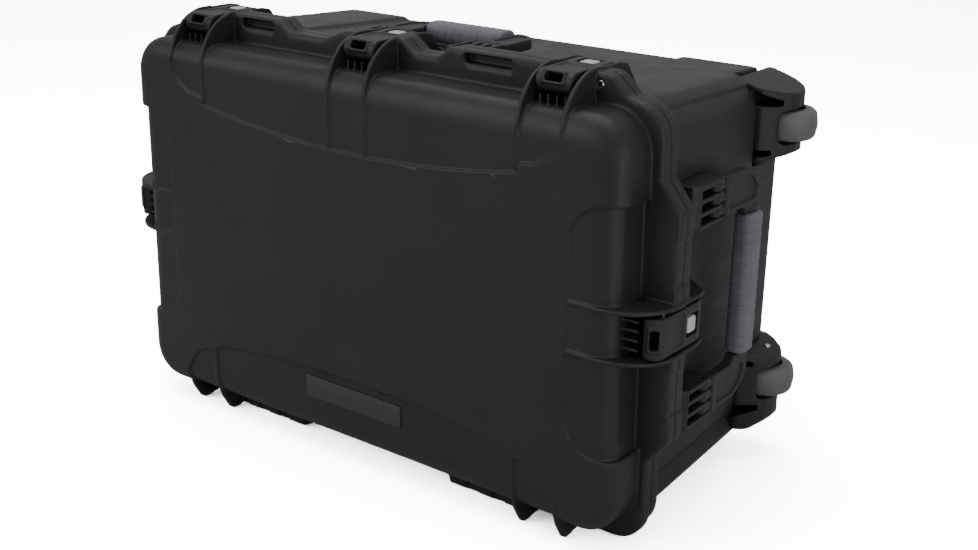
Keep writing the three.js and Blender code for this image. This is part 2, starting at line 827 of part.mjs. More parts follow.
for (const [name, side] of [
  ["upper", 1],
  ["lower", -1],
]) {
  addMesh(middle, `wheel_housing_${name}`, wheelHousing(side), plastic);
  addMesh(middle, `axle_${name}`, axle(side), steel);
  addMesh(middle, `tyre_${name}`, tyre(side), tyreRubber);
  addMesh(middle, `wheel_hub_${name}`, hub(side), plastic);
  addMesh(middle, `pull_outer_tube_${name}`, tube(OUTER_TUBE, side, true), aluminium);
  addMesh(middle, `pull_mid_tube_${name}`, tube(MID_TUBE, side, true), aluminium);
  addMesh(middle, `pull_inner_tube_${name}`, tube(INNER_TUBE, side, false), aluminium);
}
addMesh(middle, "pull_grip", pullGrip(), rubber);
addMesh(middle, "pull_release_button", releaseButton(), lightGrey);
addMesh(middle, "pull_tube_cover", tubeCover(), plastic);

export default part;
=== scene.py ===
import json
import math

import bmesh
import bpy
import numpy as np
import openvdb
from mathutils import Matrix, Vector


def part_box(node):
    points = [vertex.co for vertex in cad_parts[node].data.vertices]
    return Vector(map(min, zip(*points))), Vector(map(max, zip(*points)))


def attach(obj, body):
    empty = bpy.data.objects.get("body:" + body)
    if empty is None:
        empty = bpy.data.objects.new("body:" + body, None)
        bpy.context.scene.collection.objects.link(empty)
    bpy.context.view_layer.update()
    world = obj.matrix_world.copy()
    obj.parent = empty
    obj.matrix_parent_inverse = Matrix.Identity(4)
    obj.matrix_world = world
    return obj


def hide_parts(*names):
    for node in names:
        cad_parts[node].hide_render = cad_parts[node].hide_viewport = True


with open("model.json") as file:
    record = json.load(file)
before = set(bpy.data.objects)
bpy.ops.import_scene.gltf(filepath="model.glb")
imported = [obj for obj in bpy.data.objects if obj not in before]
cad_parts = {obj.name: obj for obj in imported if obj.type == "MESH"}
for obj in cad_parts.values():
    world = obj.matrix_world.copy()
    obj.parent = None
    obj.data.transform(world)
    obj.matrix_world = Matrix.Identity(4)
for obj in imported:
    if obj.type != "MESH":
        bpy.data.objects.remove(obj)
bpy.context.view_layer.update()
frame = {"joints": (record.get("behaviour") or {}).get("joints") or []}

# Millimetres from here on. Shapes are drawn about the middle of the case, so that the top and the
# two ends share one set of numbers: "out" is the distance from the middle towards an edge.
JOINTS = {joint["name"]: joint for joint in frame["joints"]}


def joint_place(name):
    return [1000 * value for value in JOINTS[name]["pos_m"]]


def box_mm(node):
    """A CAD node's lowest and highest corners, in mm, with heights measured from the middle."""
    return [[1000 * v - m for v, m in zip(corner, (0, 0, MIDDLE))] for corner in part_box(node)]


def centre_and_half(node):
    """The middle of a CAD node's box and half of its size, in mm."""
    low, high = box_mm(node)
    return [(a + b) / 2 for a, b in zip(low, high)], [(b - a) / 2 for a, b in zip(low, high)]


TOP_PIVOT, END_PIVOT = joint_place("lever_top_middle_pivot"), joint_place("lever_end_right_pivot")
MIDDLE = END_PIVOT[2]
END_SHIFT = END_PIVOT[0] + MIDDLE - TOP_PIVOT[2]

STEP_SHELL = 1.5  # sampling of the two shells
STEP_PART = 0.75  # sampling of the fittings
STEP_FINE = 0.5  # sampling of the latches and brackets
BAND = 3  # samples kept on each side of a skin


# ---------------------------------------------------------------- shapes as distances
class Shape:
    """A distance function of x, y and z, negative inside, and the box that holds the shape."""

    def __init__(self, low, high, distance):
        self.low = low
        self.high = high
        self.distance = distance


def join_round(a, b, r):
    if r <= 0:
        return np.minimum(a, b)
    u = np.maximum(r - a, 0)
    v = np.maximum(r - b, 0)
    return np.maximum(r, np.minimum(a, b)) - np.sqrt(u * u + v * v)


def meet_round(a, b, r):
    return -join_round(-a, -b, r)


def corner_distance(u, v, r):
    """Distance to the edge where the faces u = 0 and v = 0 meet, rounded by r."""
    inside = np.minimum(np.maximum(u, v) + r, 0)
    return inside + np.hypot(np.maximum(u + r, 0), np.maximum(v + r, 0)) - r


def polygon_distance(points, a, b):
    best = None
    inside = None
    for (a0, b0), (a1, b1) in zip(points, points[1:] + points[:1]):
        ea, eb = a1 - a0, b1 - b0
        t = np.clip(((a - a0) * ea + (b - b0) * eb) / (ea * ea + eb * eb), 0, 1)
        square = (a - a0 - ea * t) ** 2 + (b - b0 - eb * t) ** 2
        crossed = ((b0 > b) != (b1 > b)) & (a < a0 + ea * (b - b0) / (eb or 1))
        best = square if best is None else np.minimum(best, square)
        inside = crossed if inside is None else inside ^ crossed
    return np.where(inside, -np.sqrt(best), np.sqrt(best))


def rounded(points, radius, steps=5):
    """The outline with every corner rounded, by the corner's own radius where it has one."""
    out = []
    count = len(points)
    for i, point in enumerate(points):
        here = np.array(point[:2], float)
        before = np.array(points[i - 1][:2], float) - here
        after = np.array(points[(i + 1) % count][:2], float) - here
        r = point[2] if len(point) > 2 else radius
        to_before, to_after = np.linalg.norm(before), np.linalg.norm(after)
        before /= to_before
        after /= to_after
        half = math.acos(max(-1.0, min(1.0, float(before @ after)))) / 2
        reach = min(r / max(math.tan(half), 1e-3), 0.48 * to_before, 0.48 * to_after)
        if reach < 0.05:
            out.append(tuple(here))
            continue
        for s in np.linspace(0, 1, steps):
            p = here + before * reach * (1 - s) ** 2 + after * reach * s**2
            out.append((float(p[0]), float(p[1])))
    return out


def prism(outline, axis, low, high, r=1.0, corner=0.0):
    """An outline in (y, z), (x, z) or (x, y) pulled along x, y or z; r rounds its two ends."""
    bent = corner or any(len(p) > 2 for p in outline)
    points = rounded(outline, corner) if bent else list(outline)
    middle, half = (low + high) / 2, (high - low) / 2
    spans = [(min(p[k] for p in points), max(p[k] for p in points)) for k in (0, 1)]
    spans.insert("xyz".index(axis), (low, high))

    def distance(x, y, z):
        a, b, h = {"x": (y, z, x), "y": (x, z, y), "z": (x, y, z)}[axis]
        return corner_distance(polygon_distance(points, a, b), np.abs(h - middle) - half, r)

    return Shape(*zip(*spans), distance)


def block(x0, x1, y0, y1, z0, z1, r=1.0):
    low, high = (x0, y0, z0), (x1, y1, z1)

    def distance(*place):
        faces = [np.abs(p - (a + b) / 2) - (b - a) / 2 + r for p, a, b in zip(place, low, high)]
        outside = sum(np.maximum(f, 0) ** 2 for f in faces)
        inside = np.minimum(np.maximum(np.maximum(faces[0], faces[1]), faces[2]), 0)
        return np.sqrt(outside) + inside - r

    return Shape(low, high, distance)


def rod(axis, a, b, radius, low, high, r=1.0):
    """A round bar along an axis; a and b are its centre in the other two directions, in order."""
    middle, half = (low + high) / 2, (high - low) / 2
    spans = [(a - radius, a + radius), (b - radius, b + radius)]
    spans.insert("xyz".index(axis), (low, high))

    def distance(*place):
        others = list(place)
        along = others.pop("xyz".index(axis))
        around = np.hypot(others[0] - a, others[1] - b) - radius
        return corner_distance(around, np.abs(along - middle) - half, r)

    return Shape(*zip(*spans), distance)


def turned(shape, y, z, degrees):
    """The shape, drawn about the origin, turned about x and moved to y, z."""
    c, s = math.cos(math.radians(degrees)), math.sin(math.radians(degrees))
    reach = max(abs(v) for v in (*shape.low[1:], *shape.high[1:])) * 1.5

    def distance(px, py, pz):
        return shape.distance(px, c * (py - y) + s * (pz - z), -s * (py - y) + c * (pz - z))

    low, high = (shape.low[0], y - reach, z - reach), (shape.high[0], y + reach, z + reach)
    return Shape(low, high, distance)


def placed(shape, side, along=0.0):
    """A shape drawn on the top edge, moved along it or put on an end of the case."""
    (u0, y0, o0), (u1, y1, o1) = shape.low, shape.high
    if side == "top":
        low, high = (u0 + along, y0, o0), (u1 + along, y1, o1)
        return Shape(low, high, lambda x, y, z: shape.distance(x - along, y, z))
    low, high = (o0 + END_SHIFT, y0, -u1), (o1 + END_SHIFT, y1, -u0)
    right = Shape(low, high, lambda x, y, z: shape.distance(-z, y, x - END_SHIFT))
    return right if side == "right" else flipped(flipped(right, "x"), "z")


def flipped(shape, axis):
    k = "xyz".index(axis)
    low, high = list(shape.low), list(shape.high)
    low[k], high[k] = -shape.high[k], -shape.low[k]

    def distance(*place):
        return shape.distance(*(-p if i == k else p for i, p in enumerate(place)))

    return Shape(low, high, distance)


class Clay:
    """A block of space sampled every step, which shapes are joined to and carved from."""

    def __init__(self, low, high, step):
        self.step = step
        self.low = np.array(low, float) - (BAND + 1) * step
        count = np.ceil((np.array(high) - self.low) / step).astype(int) + BAND + 2
        self.axes = [(a + step * np.arange(n)).astype(np.float32) for a, n in zip(self.low, count)]
        self.d = np.full(count, 40.0, np.float32)

    def window(self, shape, margin):
        margin = max(margin, 0) + BAND * self.step
        cuts = []
        for axis, low, high in zip(self.axes, shape.low, shape.high):
            cuts.append(slice(*np.searchsorted(axis, (low - margin, high + margin))))
        x, y, z = (axis[c] for axis, c in zip(self.axes, cuts))
        return tuple(cuts), (x[:, None, None], y[None, :, None], z[None, None, :])

    def join(self, shapes, fillet=0.0):
        for shape in shapes if isinstance(shapes, list) else [shapes]:
            cuts, place = self.window(shape, fillet)
            if self.d[cuts].size:
                self.d[cuts] = join_round(self.d[cuts], shape.distance(*place), fillet)

    def carve(self, shapes, fillet=0.0):
        for shape in shapes if isinstance(shapes, list) else [shapes]:
            cuts, place = self.window(shape, fillet)
            if self.d[cuts].size:
                self.d[cuts] = meet_round(self.d[cuts], -shape.distance(*place), fillet)

    def sample(self, points):
        """The distance at free points, between the samples."""
        place = np.clip((points - self.low) / self.step, 0, np.array(self.d.shape) - 1.001)
        whole = place.astype(int)
        part = place - whole
        total = np.zeros(len(points))
        for corner in np.ndindex(2, 2, 2):
            weight = np.prod(np.where(corner, part, 1 - part), axis=1)
            total += weight * self.d[tuple((whole + corner).T)]
        return total

    def skin(self):
        """The skin as points, faces and the outward direction at each point."""
        width = BAND * self.step
        grid = openvdb.FloatGrid(width)
        grid.copyFromArray(np.clip(self.d, -width, width))
        points, triangles, quads = grid.convertToPolygons(isovalue=0.0, adaptivity=0.02)
        points = points * self.step + self.low
        reach = np.eye(3) * self.step * 0.8
        slopes = [self.sample(points + r) - self.sample(points - r) for r in reach]
        normals = np.stack(slopes, axis=1)
        normals /= np.maximum(np.linalg.norm(normals, axis=1, keepdims=True), 1e-9)
        return points, triangles, quads, normals


# ---------------------------------------------------------------- meshes and pieces
def build_mesh(name, points, faces, normals=None):
    """A mesh in metres from points in mm; faces is a list of index arrays, one row per face."""
    faces = [np.asarray(f, np.int32) for f in faces if len(f)]
    if normals is not None:
        corners = points[faces[-1][:, :3]]
        facing = np.cross(corners[:, 1] - corners[:, 0], corners[:, 2] - corners[:, 0])
        if np.sum(facing * normals[faces[-1][:, 0]]) < 0:
            faces = [f[:, ::-1] for f in faces]
    sizes = np.concatenate([np.full(len(f), f.shape[1]) for f in faces])
    mesh = bpy.data.meshes.new(name)
    mesh.vertices.add(len(points))
    mesh.loops.add(int(sizes.sum()))
    mesh.polygons.add(len(sizes))
    mesh.vertices.foreach_set("co", (np.asarray(points) / 1000).astype(np.float32).ravel())
    mesh.loops.foreach_set("vertex_index", np.concatenate([f.ravel() for f in faces]))
    starts = np.concatenate([[0], np.cumsum(sizes)[:-1]]).astype(np.int32)
    mesh.polygons.foreach_set("loop_start", starts)
    mesh.update(calc_edges=True)
    mesh.polygons.foreach_set("use_smooth", np.ones(len(sizes), bool))
    if normals is not None:
        mesh.normals_split_custom_set_from_vertices(normals.tolist())
    else:
        mesh.set_sharp_from_angle(angle=math.radians(40))
    return mesh


def clay_mesh(name, clay, flip=(1, 1, 1)):
    """The clay's skin as a mesh, mirrored where flip is -1."""
    points, triangles, quads, normals = clay.skin()
    return build_mesh(name, points * flip, [triangles, quads], normals * flip)


def loft_mesh(name, rings, closed=False):
    """A skin over rings of points; its two ends are closed unless it runs round."""
    rings = np.asarray(rings, float)
    count, around = rings.shape[:2]
    last = count if closed else count - 1
    i, j = np.meshgrid(np.arange(last), np.arange(around), indexing="ij")
    i2, j2 = (i + 1) % count, (j + 1) % around
    quads = np.stack([i * around + j, i * around + j2, i2 * around + j2, i2 * around + j], axis=-1)
    points = rings.reshape(-1, 3)
    faces = [quads.reshape(-1, 4)]
    if not closed:
        first = np.arange(around)[::-1]
        faces += [first[None, :], (first[::-1] + (count - 1) * around)[None, :]]
    mesh = build_mesh(name, points, faces)
    solid = bmesh.new()
    solid.from_mesh(mesh)
    bmesh.ops.recalc_face_normals(solid, faces=solid.faces)
    solid.to_mesh(mesh)
    solid.free()
    return mesh


def lathe_mesh(name, profile, axis, steps=96):
    """A closed outline of (radius, height) turned about an axis through the origin."""
    turn = np.linspace(0, 2 * math.pi, steps, endpoint=False)
    profile = np.array(profile, float)
    a = profile[None, :, 0] * np.cos(turn)[:, None]
    b = profile[None, :, 0] * np.sin(turn)[:, None]
    h = np.broadcast_to(profile[None, :, 1], a.shape)
    order = {"x": (h, a, b), "y": (a, h, b), "z": (a, b, h)}[axis]
    return loft_mesh(name, np.stack(order, axis=-1), closed=True)


def ring_outline(half_a, half_b, r, steps=6):
    """A rounded rectangle's outline about the origin."""
    r = min(r, half_a - 0.01, half_b - 0.01)
    turns = np.linspace(0, math.pi / 2, steps)
    points = []
    for quarter, (sa, sb) in enumerate([(1, 1), (-1, 1), (-1, -1), (1, -1)]):
        for t in turns + quarter * math.pi / 2:
            a, b = sa * (half_a - r), sb * (half_b - r)
            points.append((a + r * math.cos(t), b + r * math.sin(t)))
    return np.array(points)


def shift(x, y, z):
    """A move given in mm, for objects that are in metres."""
    return Matrix.Translation((x / 1000, y / 1000, z / 1000))


def place_on(side, along=0.0):
    """The move from a feature drawn on the top edge to its own place."""
    lift = shift(0, 0, MIDDLE)
    if side == "top":
        return lift @ shift(along, 0, 0)
    sign = 1 if side == "right" else -1
    return lift @ shift(sign * END_SHIFT, 0, 0) @ Matrix.Rotation(sign * math.pi / 2, 4, "Y")


def moved_to(x, y, z):
    return place_on("top") @ shift(x, y, z)


def add_piece(name, mesh, slot, body, nodes, matrix=None):
    piece = bpy.data.objects.new(name, mesh)
    bpy.context.scene.collection.objects.link(piece)
    if not mesh.materials:
        mesh.materials.append(LOOKS[slot])
    piece.matrix_world = matrix or place_on("top")
    bpy.context.view_layer.update()
    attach(piece, body)
    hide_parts(*nodes)
    return piece


# ---------------------------------------------------------------- looks
class Look:
    """A material whose patterns are fixed to the piece."""

    def __init__(self, name, colour, roughness, metallic=0.0, specular=0.5):
        self.material = bpy.data.materials.new(name)
        self.material.use_nodes = True
        self.nodes, self.links = self.material.node_tree.nodes, self.material.node_tree.links
        self.inputs = self.nodes["Principled BSDF"].inputs
        self.inputs["Base Color"].default_value = (*colour, 1)
        self.inputs["Roughness"].default_value = roughness
        self.inputs["Metallic"].default_value = metallic
        self.inputs["Specular IOR Level"].default_value = specular

    def pattern(self, scale, detail=3.0, stretch=(1, 1, 1), cells=False):
        """The values of a noise or of a pattern of cells; scale is in repeats per metre."""
        place = self.nodes.new("ShaderNodeTexCoord")
        mapping = self.nodes.new("ShaderNodeMapping")
        mapping.inputs["Scale"].default_value = stretch
        texture = self.nodes.new("ShaderNodeTexVoronoi" if cells else "ShaderNodeTexNoise")
        texture.inputs["Scale"].default_value = scale
        texture.inputs["Detail"].default_value = detail
        self.links.new(place.outputs["Object"], mapping.inputs["Vector"])
        self.links.new(mapping.outputs["Vector"], texture.inputs["Vector"])
        return texture.outputs["Distance" if cells else "Fac"]

    def colour(self, pattern, low, high):
        ramp = self.nodes.new("ShaderNodeValToRGB")
        for stop, place, tone in zip(ramp.color_ramp.elements, SPREAD, (low, high)):
            stop.position = place
            stop.color = (*tone, 1)
        self.links.new(pattern, ramp.inputs["Fac"])
        self.links.new(ramp.outputs["Color"], self.inputs["Base Color"])

    def roughness(self, pattern, low, high):
        spread = self.nodes.new("ShaderNodeMapRange")
        for name, value in zip(("From Min", "From Max", "To Min", "To Max"), (*SPREAD, low, high)):
            spread.inputs[name].default_value = value
        self.links.new(pattern, spread.inputs["Value"])
        self.links.new(spread.outputs["Result"], self.inputs["Roughness"])

    def relief(self, *sources):
        """Fine bumps: each source is (pattern, height in metres, strength)."""
        below = None
        for pattern, height, strength in sources:
            bump = self.nodes.new("ShaderNodeBump")
            bump.inputs["Distance"].default_value = height
            bump.inputs["Strength"].default_value = strength
            self.links.new(pattern, bump.inputs["Height"])
            if below:
                self.links.new(below.outputs["Normal"], bump.inputs["Normal"])
            below = bump
        self.links.new(below.outputs["Normal"], self.inputs["Normal"])


SPREAD = (0.3, 0.7)  # the part of a pattern's range that goes from one tone to the other


def moulded_plastic(name, dark, light, roughness, grain):
    """Black moulded resin with a fine cast texture and faint handling marks."""
    look = Look(name, dark, roughness, specular=0.25)
    fine = look.pattern(grain, 2.0)
    cells = look.pattern(grain * 0.55, cells=True)
    look.colour(look.pattern(9.0, 4.0), dark, light)
    look.roughness(look.pattern(22.0, 5.0, (1, 1, 2.2)), roughness - 0.05, roughness + 0.06)
    look.relief((cells, 0.0002, 0.35), (fine, 0.00018, 0.4))
    return look.material


def grip_rubber(name):
    """Soft grey rubber with a dull sheen."""
    look = Look(name, (0.095, 0.095, 0.11), 0.6, specular=0.3)
    look.inputs["Sheen Weight"].default_value = 0.12
    look.inputs["Sheen Roughness"].default_value = 0.5
    broad = look.pattern(40.0, 4.0)
    look.colour(broad, (0.09, 0.09, 0.104), (0.118, 0.118, 0.136))
    look.roughness(broad, 0.54, 0.66)
    look.relief((look.pattern(1600.0, 2.0), 0.00015, 0.5))
    return look.material


def tyre_rubber(name):
    """Hard grey rubber, scuffed and ringed by turning."""
    look = Look(name, (0.075, 0.072, 0.072), 0.5, specular=0.35)
    rings = look.pattern(500.0, 2.0, (0.15, 0.15, 1))
    scuff = look.pattern(60.0, 5.0)
    look.colour(scuff, (0.085, 0.082, 0.082), (0.12, 0.116, 0.116))
    look.roughness(scuff, 0.42, 0.6)
    look.relief((rings, 0.0001, 0.4), (scuff, 0.0002, 0.25))
    return look.material


def metal(name, colour, roughness, stretch):
    """Brushed metal: fine scratches drawn out along one direction."""
    look = Look(name, colour, roughness, metallic=1.0)
    lines = look.pattern(900.0, 3.0, stretch)
    look.roughness(lines, roughness - 0.08, roughness + 0.12)
    look.colour(look.pattern(50.0, 3.0), tuple(c * 0.86 for c in colour), colour)
    look.relief((lines, 0.00004, 0.4))
    return look.material


def smooth_part(name, low, high, roughness, grain, specular=0.5):
    """Satin plastic, foam seal or blank foil: two close tones and a fine grain."""
    look = Look(name, low, roughness, specular=specular)
    cloud = look.pattern(70.0, 4.0)
    look.colour(cloud, low, high)
    look.roughness(cloud, roughness - 0.05, roughness + 0.05)
    look.relief((look.pattern(grain, 2.0), 0.00006, 0.3))
    return look.material


PLASTIC_DARK, PLASTIC_LIGHT = (0.0165, 0.0135, 0.0142), (0.0205, 0.0172, 0.018)
LOOKS = {
    "black_plastic": moulded_plastic("black_plastic", PLASTIC_DARK, PLASTIC_LIGHT, 0.43, 1500.0),
    "grip_rubber": grip_rubber("grip_rubber"),
    "tyre": tyre_rubber("tyre"),
    "steel": metal("steel", (0.62, 0.61, 0.6), 0.28, (1, 1, 8)),
    "aluminium": metal("aluminium", (0.56, 0.57, 0.58), 0.34, (0.06, 1, 1)),
    "gasket": smooth_part("gasket", (0.008,) * 3, (0.014,) * 3, 0.85, 1200.0, 0.2),
    "button_grey": smooth_part("button_grey", (0.36, 0.36, 0.37), (0.43, 0.43, 0.44), 0.38, 1400.0),
    "label": smooth_part("label", (0.019, 0.0182, 0.0187), (0.024, 0.0232, 0.0236), 0.45, 900.0),
}


# ---------------------------------------------------------------- sizes taken from the frame
LID_LOW, LID_HIGH = box_mm("lid_shell")
RIM_LOW, RIM_HIGH = box_mm("base_rim")
BASE_LOW, BASE_HIGH = box_mm("base_shell")
FACE_Y = LID_LOW[1]
BASE_FRONT = RIM_LOW[1]
LID_BACK = BASE_FRONT - 0.4
BASE_BACK = BASE_HIGH[1]
WALL = 5
PATCH_SINK = 2.5
RIM_FRONT = LID_BACK - 15.8
RIM_BACK = BASE_FRONT + 14.8
RIM_END = RIM_HIGH[0] - 3
LATCH_X = joint_place("lever_top_right_pivot")[0]
PIN_Y, PIN_OUT = TOP_PIVOT[1], TOP_PIVOT[2] - MIDDLE
NOTCH, FIN_OUT = 25.5, 30.5
PIN_HALF = 25.2
BARREL_Y, BARREL_OUT, BARREL_R = -164.5, 248.6, 11.8
HINGE_Y = joint_place("lid_hinge")[1]
HINGE_Z = joint_place("lid_hinge")[2] - MIDDLE
HINGE_R = 8.5
HANDLE_Y = joint_place("handle_top_swing")[1]
HANDLE_OUT = joint_place("handle_top_swing")[2] - MIDDLE
WHEEL_X, WHEEL_Y, _ = joint_place("wheel_upper_spin")
WHEEL_Z = joint_place("wheel_upper_spin")[2] - MIDDLE
LID_KNUCKLES = ((122, 150.5), (166.5, 188.5), (203.5, 226.5))
BASE_KNUCKLES = ((152, 165), (190, 202), (228, 238.5))
WELL_R, WELL_HALF = 38.5, 20
DRAFT = 12
BODY_X, BODY_TOP, BODY_BOTTOM, BODY_CORNER = 366, 228, -226, 40

LATCHES = {
    "top_left": ("top", -LATCH_X),
    "top_middle": ("top", 0),
    "top_right": ("top", LATCH_X),
    "end_right": ("right", 0),
    "end_left": ("left", 0),
}


def mirrored(points):
    return [(-p[0], *p[1:]) for p in points][::-1]


def arc(a, b, radius, start, end, steps=8):
    turns = np.radians(np.linspace(start, end, steps))
    return [(a + radius * math.cos(t), b + radius * math.sin(t)) for t in turns]


def on_sides(shapes):
    """The shapes and their mirror images in x."""
    return [s for shape in shapes for s in (shape, flipped(shape, "x"))]


# ---------------------------------------------------------------- rim, shared by lid and base
def rim_outline(bottom):
    top = [
        (-336, 238.5, 8), (-317, 256, 6), (-308, 259, 4), (-LATCH_X - NOTCH, 259, 1),
        (-LATCH_X - NOTCH, 243, 1), (-LATCH_X + NOTCH, 243, 1), (-LATCH_X + NOTCH, 261, 1),
        (-160, 261, 8), (-142, 248, 12), (-84, 248, 16), (-52, 260, 12), (-NOTCH, 262, 1),
        (-NOTCH, 243, 1), (NOTCH, 243, 1), (NOTCH, 262, 1), (36, 262, 8), (54, 248, 10),
        (88, 248, 10), (106, 260.5, 10), (LATCH_X - NOTCH, 261, 1), (LATCH_X - NOTCH, 243, 1),
        (LATCH_X + NOTCH, 243, 1), (LATCH_X + NOTCH, 259, 1), (308, 259, 4), (317, 256, 6),
        (336, 238.5, 8),
    ]
    end = RIM_END
    right = [
        *arc(343, bottom + 38, 38, -90, 0), (381, -158, 6), (end, -128, 10), (end, -NOTCH, 1),
        (389, -NOTCH, 1), (389, NOTCH, 1), (end, NOTCH, 1), (end, 128, 10), (381, 158, 6),
        *arc(340, 195, 41, 0, 80),
    ]
    return right + top[::-1] + mirrored(right)


def hinge_clearance():
    return on_sides([block(120.5, 240, -170, -100, -300, -245.5, 2)])


def rim_windows(front, back):
    """Slots through the raised tabs beside the outer latches, and small ones at the ends."""
    slots = []
    for x0, x1 in ((-223, -168), (126, 191)):
        outline = [(x0, 246), (x1, 246), (x1, 257), (x0, 257)]
        slots.append(prism(outline, "y", front, back, 0.8, 4))
    for z0, z1 in ((48, 98), (-98, -48)):
        slots += on_sides([block(RIM_END - 2, 430, front - 9, back + 40, z0, z1, 1.5)])
    return slots


def eyelet_holes(radius, front, back):
    return [rod("y", side * 303, 247, radius, front, back, 0.5) for side in (-1, 1)]


# ---------------------------------------------------------------- lid
# Half length, lean of the ends, top, bottom and front of the sunk dome and of its raised panel.
SUNK = (363.2, 0.014, 225.5, -237.5, FACE_Y + PATCH_SINK)
RAISED = (369.5, 0.0107, 227.3, -239.3, FACE_Y)


def crown(grow, half, slope, top, bottom, front):
    """The lid's dome: a rounded oblong whose ends lean; its front edge is rounded deeper along
    the face than into the wall, and a little tighter towards the left end."""
    middle, tall = (top + bottom) / 2, (top - bottom) / 2
    deep = 21 + grow

    def distance(x, y, z):
        across = np.interp(x, (-330, 100), (23, 34)) + grow
        a = np.abs(x) - (half - slope * z + grow)
        b = np.abs(z - middle) - (tall + grow)
        side = corner_distance(a, b, 46 + grow)
        return corner_distance(side, (front - grow - y) * across / deep, across)

    low, high = (-half - 6, front - grow, bottom - grow), (half + 6, LID_BACK, top + grow)
    return Shape(low, high, distance)


def top_patch():
    curve = [(x, 134.3 + 0.000356 * x * x) for x in np.linspace(-228, 228, 25)]
    right = [(240.5, 156), (243, 165.2), *arc(247, 214, 49, -70, -11), (296.5, 214), (296.5, 330)]
    return mirrored(right) + [(x, z) for x, z in curve] + right


def bottom_patch():
    curve = [(x, -149.4 - 0.000302 * x * x) for x in np.linspace(-222, 222, 25)]
    right = [(233, -167.5), (242, -172.8), *arc(242, -226, 53, 80, 22), (299, -214), (299, -330)]
    return mirrored(right) + curve + right


def side_patch():
    return [(430, 137), *arc(352, 93, 44, 90, 180), *arc(352, -100, 44, 180, 270), (430, -147)]


def patches():
    """The areas of the dome that lie below its raised panel."""
    sides = on_sides([prism(side_patch(), "y", -260, 0, 0, 2)])
    return [prism(outline, "y", -260, 0, 0, 3) for outline in (top_patch(), bottom_patch())] + sides


def lid_fin(start, low, high):
    """The rib beside a latch: it rises from the face, runs over the edge and ends at the rim."""
    turns = np.linspace(0, math.pi / 2, 14)
    sweep = [(-140 - 60.5 * math.cos(t), 198 + 65 * math.sin(t)) for t in turns]
    outline = [(-176, start, 0), (FACE_Y, start, 2.5)]
    outline += [p for p in sweep if p[1] > start + 4]
    outline += [(LID_BACK, 263), (LID_BACK, 228), (-165, 215)]
    return prism(outline, "x", low, high, 1.4)


def lid_bottom_fin(x, start):
    outline = [
        (-180, start), (FACE_Y, start, 3), (-200, -215, 20), (-192, -242, 20),
        (-180, -262, 8), (-174, -265.3, 3), (-166, -265, 3), (RIM_FRONT, -261, 2),
        (LID_BACK, -261), (LID_BACK, -232),
    ]
    return prism(outline, "x", x - 3, x + 3, 1.3)


def hinge_arms(spans, arm):
    return on_sides([prism(arm, "x", x0, x1, 1.2, 2) for x0, x1 in spans])


def hinge_drums(spans):
    return on_sides([rod("x", HINGE_Y, HINGE_Z, HINGE_R, x0, x1, 1.2) for x0, x1 in spans])


def hinge_bores():
    return on_sides([rod("x", HINGE_Y, HINGE_Z, 3.3, 120, 240, 0)])


def lid_mesh():
    clay = Clay(LID_LOW, LID_HIGH, STEP_SHELL)
    clay.join(crown(0, *RAISED))
    clay.carve(patches(), 1.6)
    clay.join(crown(0, *SUNK), 1.2)
    rim = prism(rim_outline(LID_LOW[2] + 3.5), "y", RIM_FRONT, LID_BACK + 6, 4.2, 1)
    clay.join(rim, 2.2)
    for name, (side, along) in LATCHES.items():
        starts = {"top_left": (204, 158), "top_right": (158, 204)}.get(name, (134.5, 134.5))
        for start, low in zip(starts, (-FIN_OUT, NOTCH)):
            clay.join(placed(lid_fin(start, low, low + 5), side, along), 1.6)
        teeth = [block(u - 1.5, u + 1.5, -177, -144, 215, 237, 0.8) for u in (-16, -5.5, 5.5, 16)]
        clay.join([placed(tooth, side, along) for tooth in teeth], 1)
        notch = block(-NOTCH, NOTCH, -181, -100, 243, 300, 1)
        clay.carve(placed(notch, side, along), 0.8)
        sweep = rod("x", PIN_Y, PIN_OUT, 24.2, -NOTCH, NOTCH, 0)
        clay.carve(placed(sweep, side, along), 0.6)
        bore = rod("x", PIN_Y, PIN_OUT, 2.7, -PIN_HALF - 0.3, PIN_HALF + 0.3, 0)
        clay.carve(placed(bore, side, along), 0.4)
    clay.carve(hinge_clearance(), 1.5)
    for x, start in ((242, -171), (299, -208)):
        clay.join(on_sides([lid_bottom_fin(x, start)]), 1.6)
    arm = [(-160, -262), (HINGE_Y, -264), (HINGE_Y, -247.2), (-140, -236), (-172, -230)]
    web = [(-159, -261.5, 1), (-140, -262.5, 1), (-138.5, -246), (-159, -238)]
    clay.join(hinge_arms(LID_KNUCKLES, arm) + hinge_arms([(120, 240)], web), 1)
    clay.join(eyelet_holes(8.5, RIM_FRONT - 1.2, LID_BACK + 6), 2)
    clay.carve(eyelet_holes(4.6, -150, -100), 0.4)
    clay.carve(rim_windows(RIM_FRONT - 6, RIM_FRONT + 11), 1.2)
    clay.carve(crown(-WALL, *SUNK), 1)
    groove = block(-LID_HIGH[0], LID_HIGH[0], LID_BACK - 4, LID_BACK + 30, -300, 300, 0)
    inner, outer = gasket_band(-0.5), gasket_band(4.7)

    def ring(x, y, z):
        return np.maximum(groove.distance(x, y, z), np.maximum(-inner(x, z), outer(x, z)))

    clay.carve(Shape((-376, LID_BACK - 4, -246), (376, LID_BACK + 9, 240), ring))
    clay.carve([block(-900, 900, LID_BACK, LID_BACK + 90, -900, 900, 0)], 0.6)
    clay.join(hinge_drums(LID_KNUCKLES), 1)
    clay.carve(hinge_bores())
    return clay_mesh("lid_moulding", clay)


def gasket_band(grow):
    half_x, low, high = 367 + grow, -240 - grow, 233 + grow

    def distance(x, z):
        a = np.abs(x) - half_x
        b = np.abs(z - (low + high) / 2) - (high - low) / 2
        return corner_distance(a, b, 46 + grow)

    return distance


# ---------------------------------------------------------------- base
def lean(y):
    return DRAFT * (y - RIM_BACK) / (BASE_BACK - RIM_BACK)


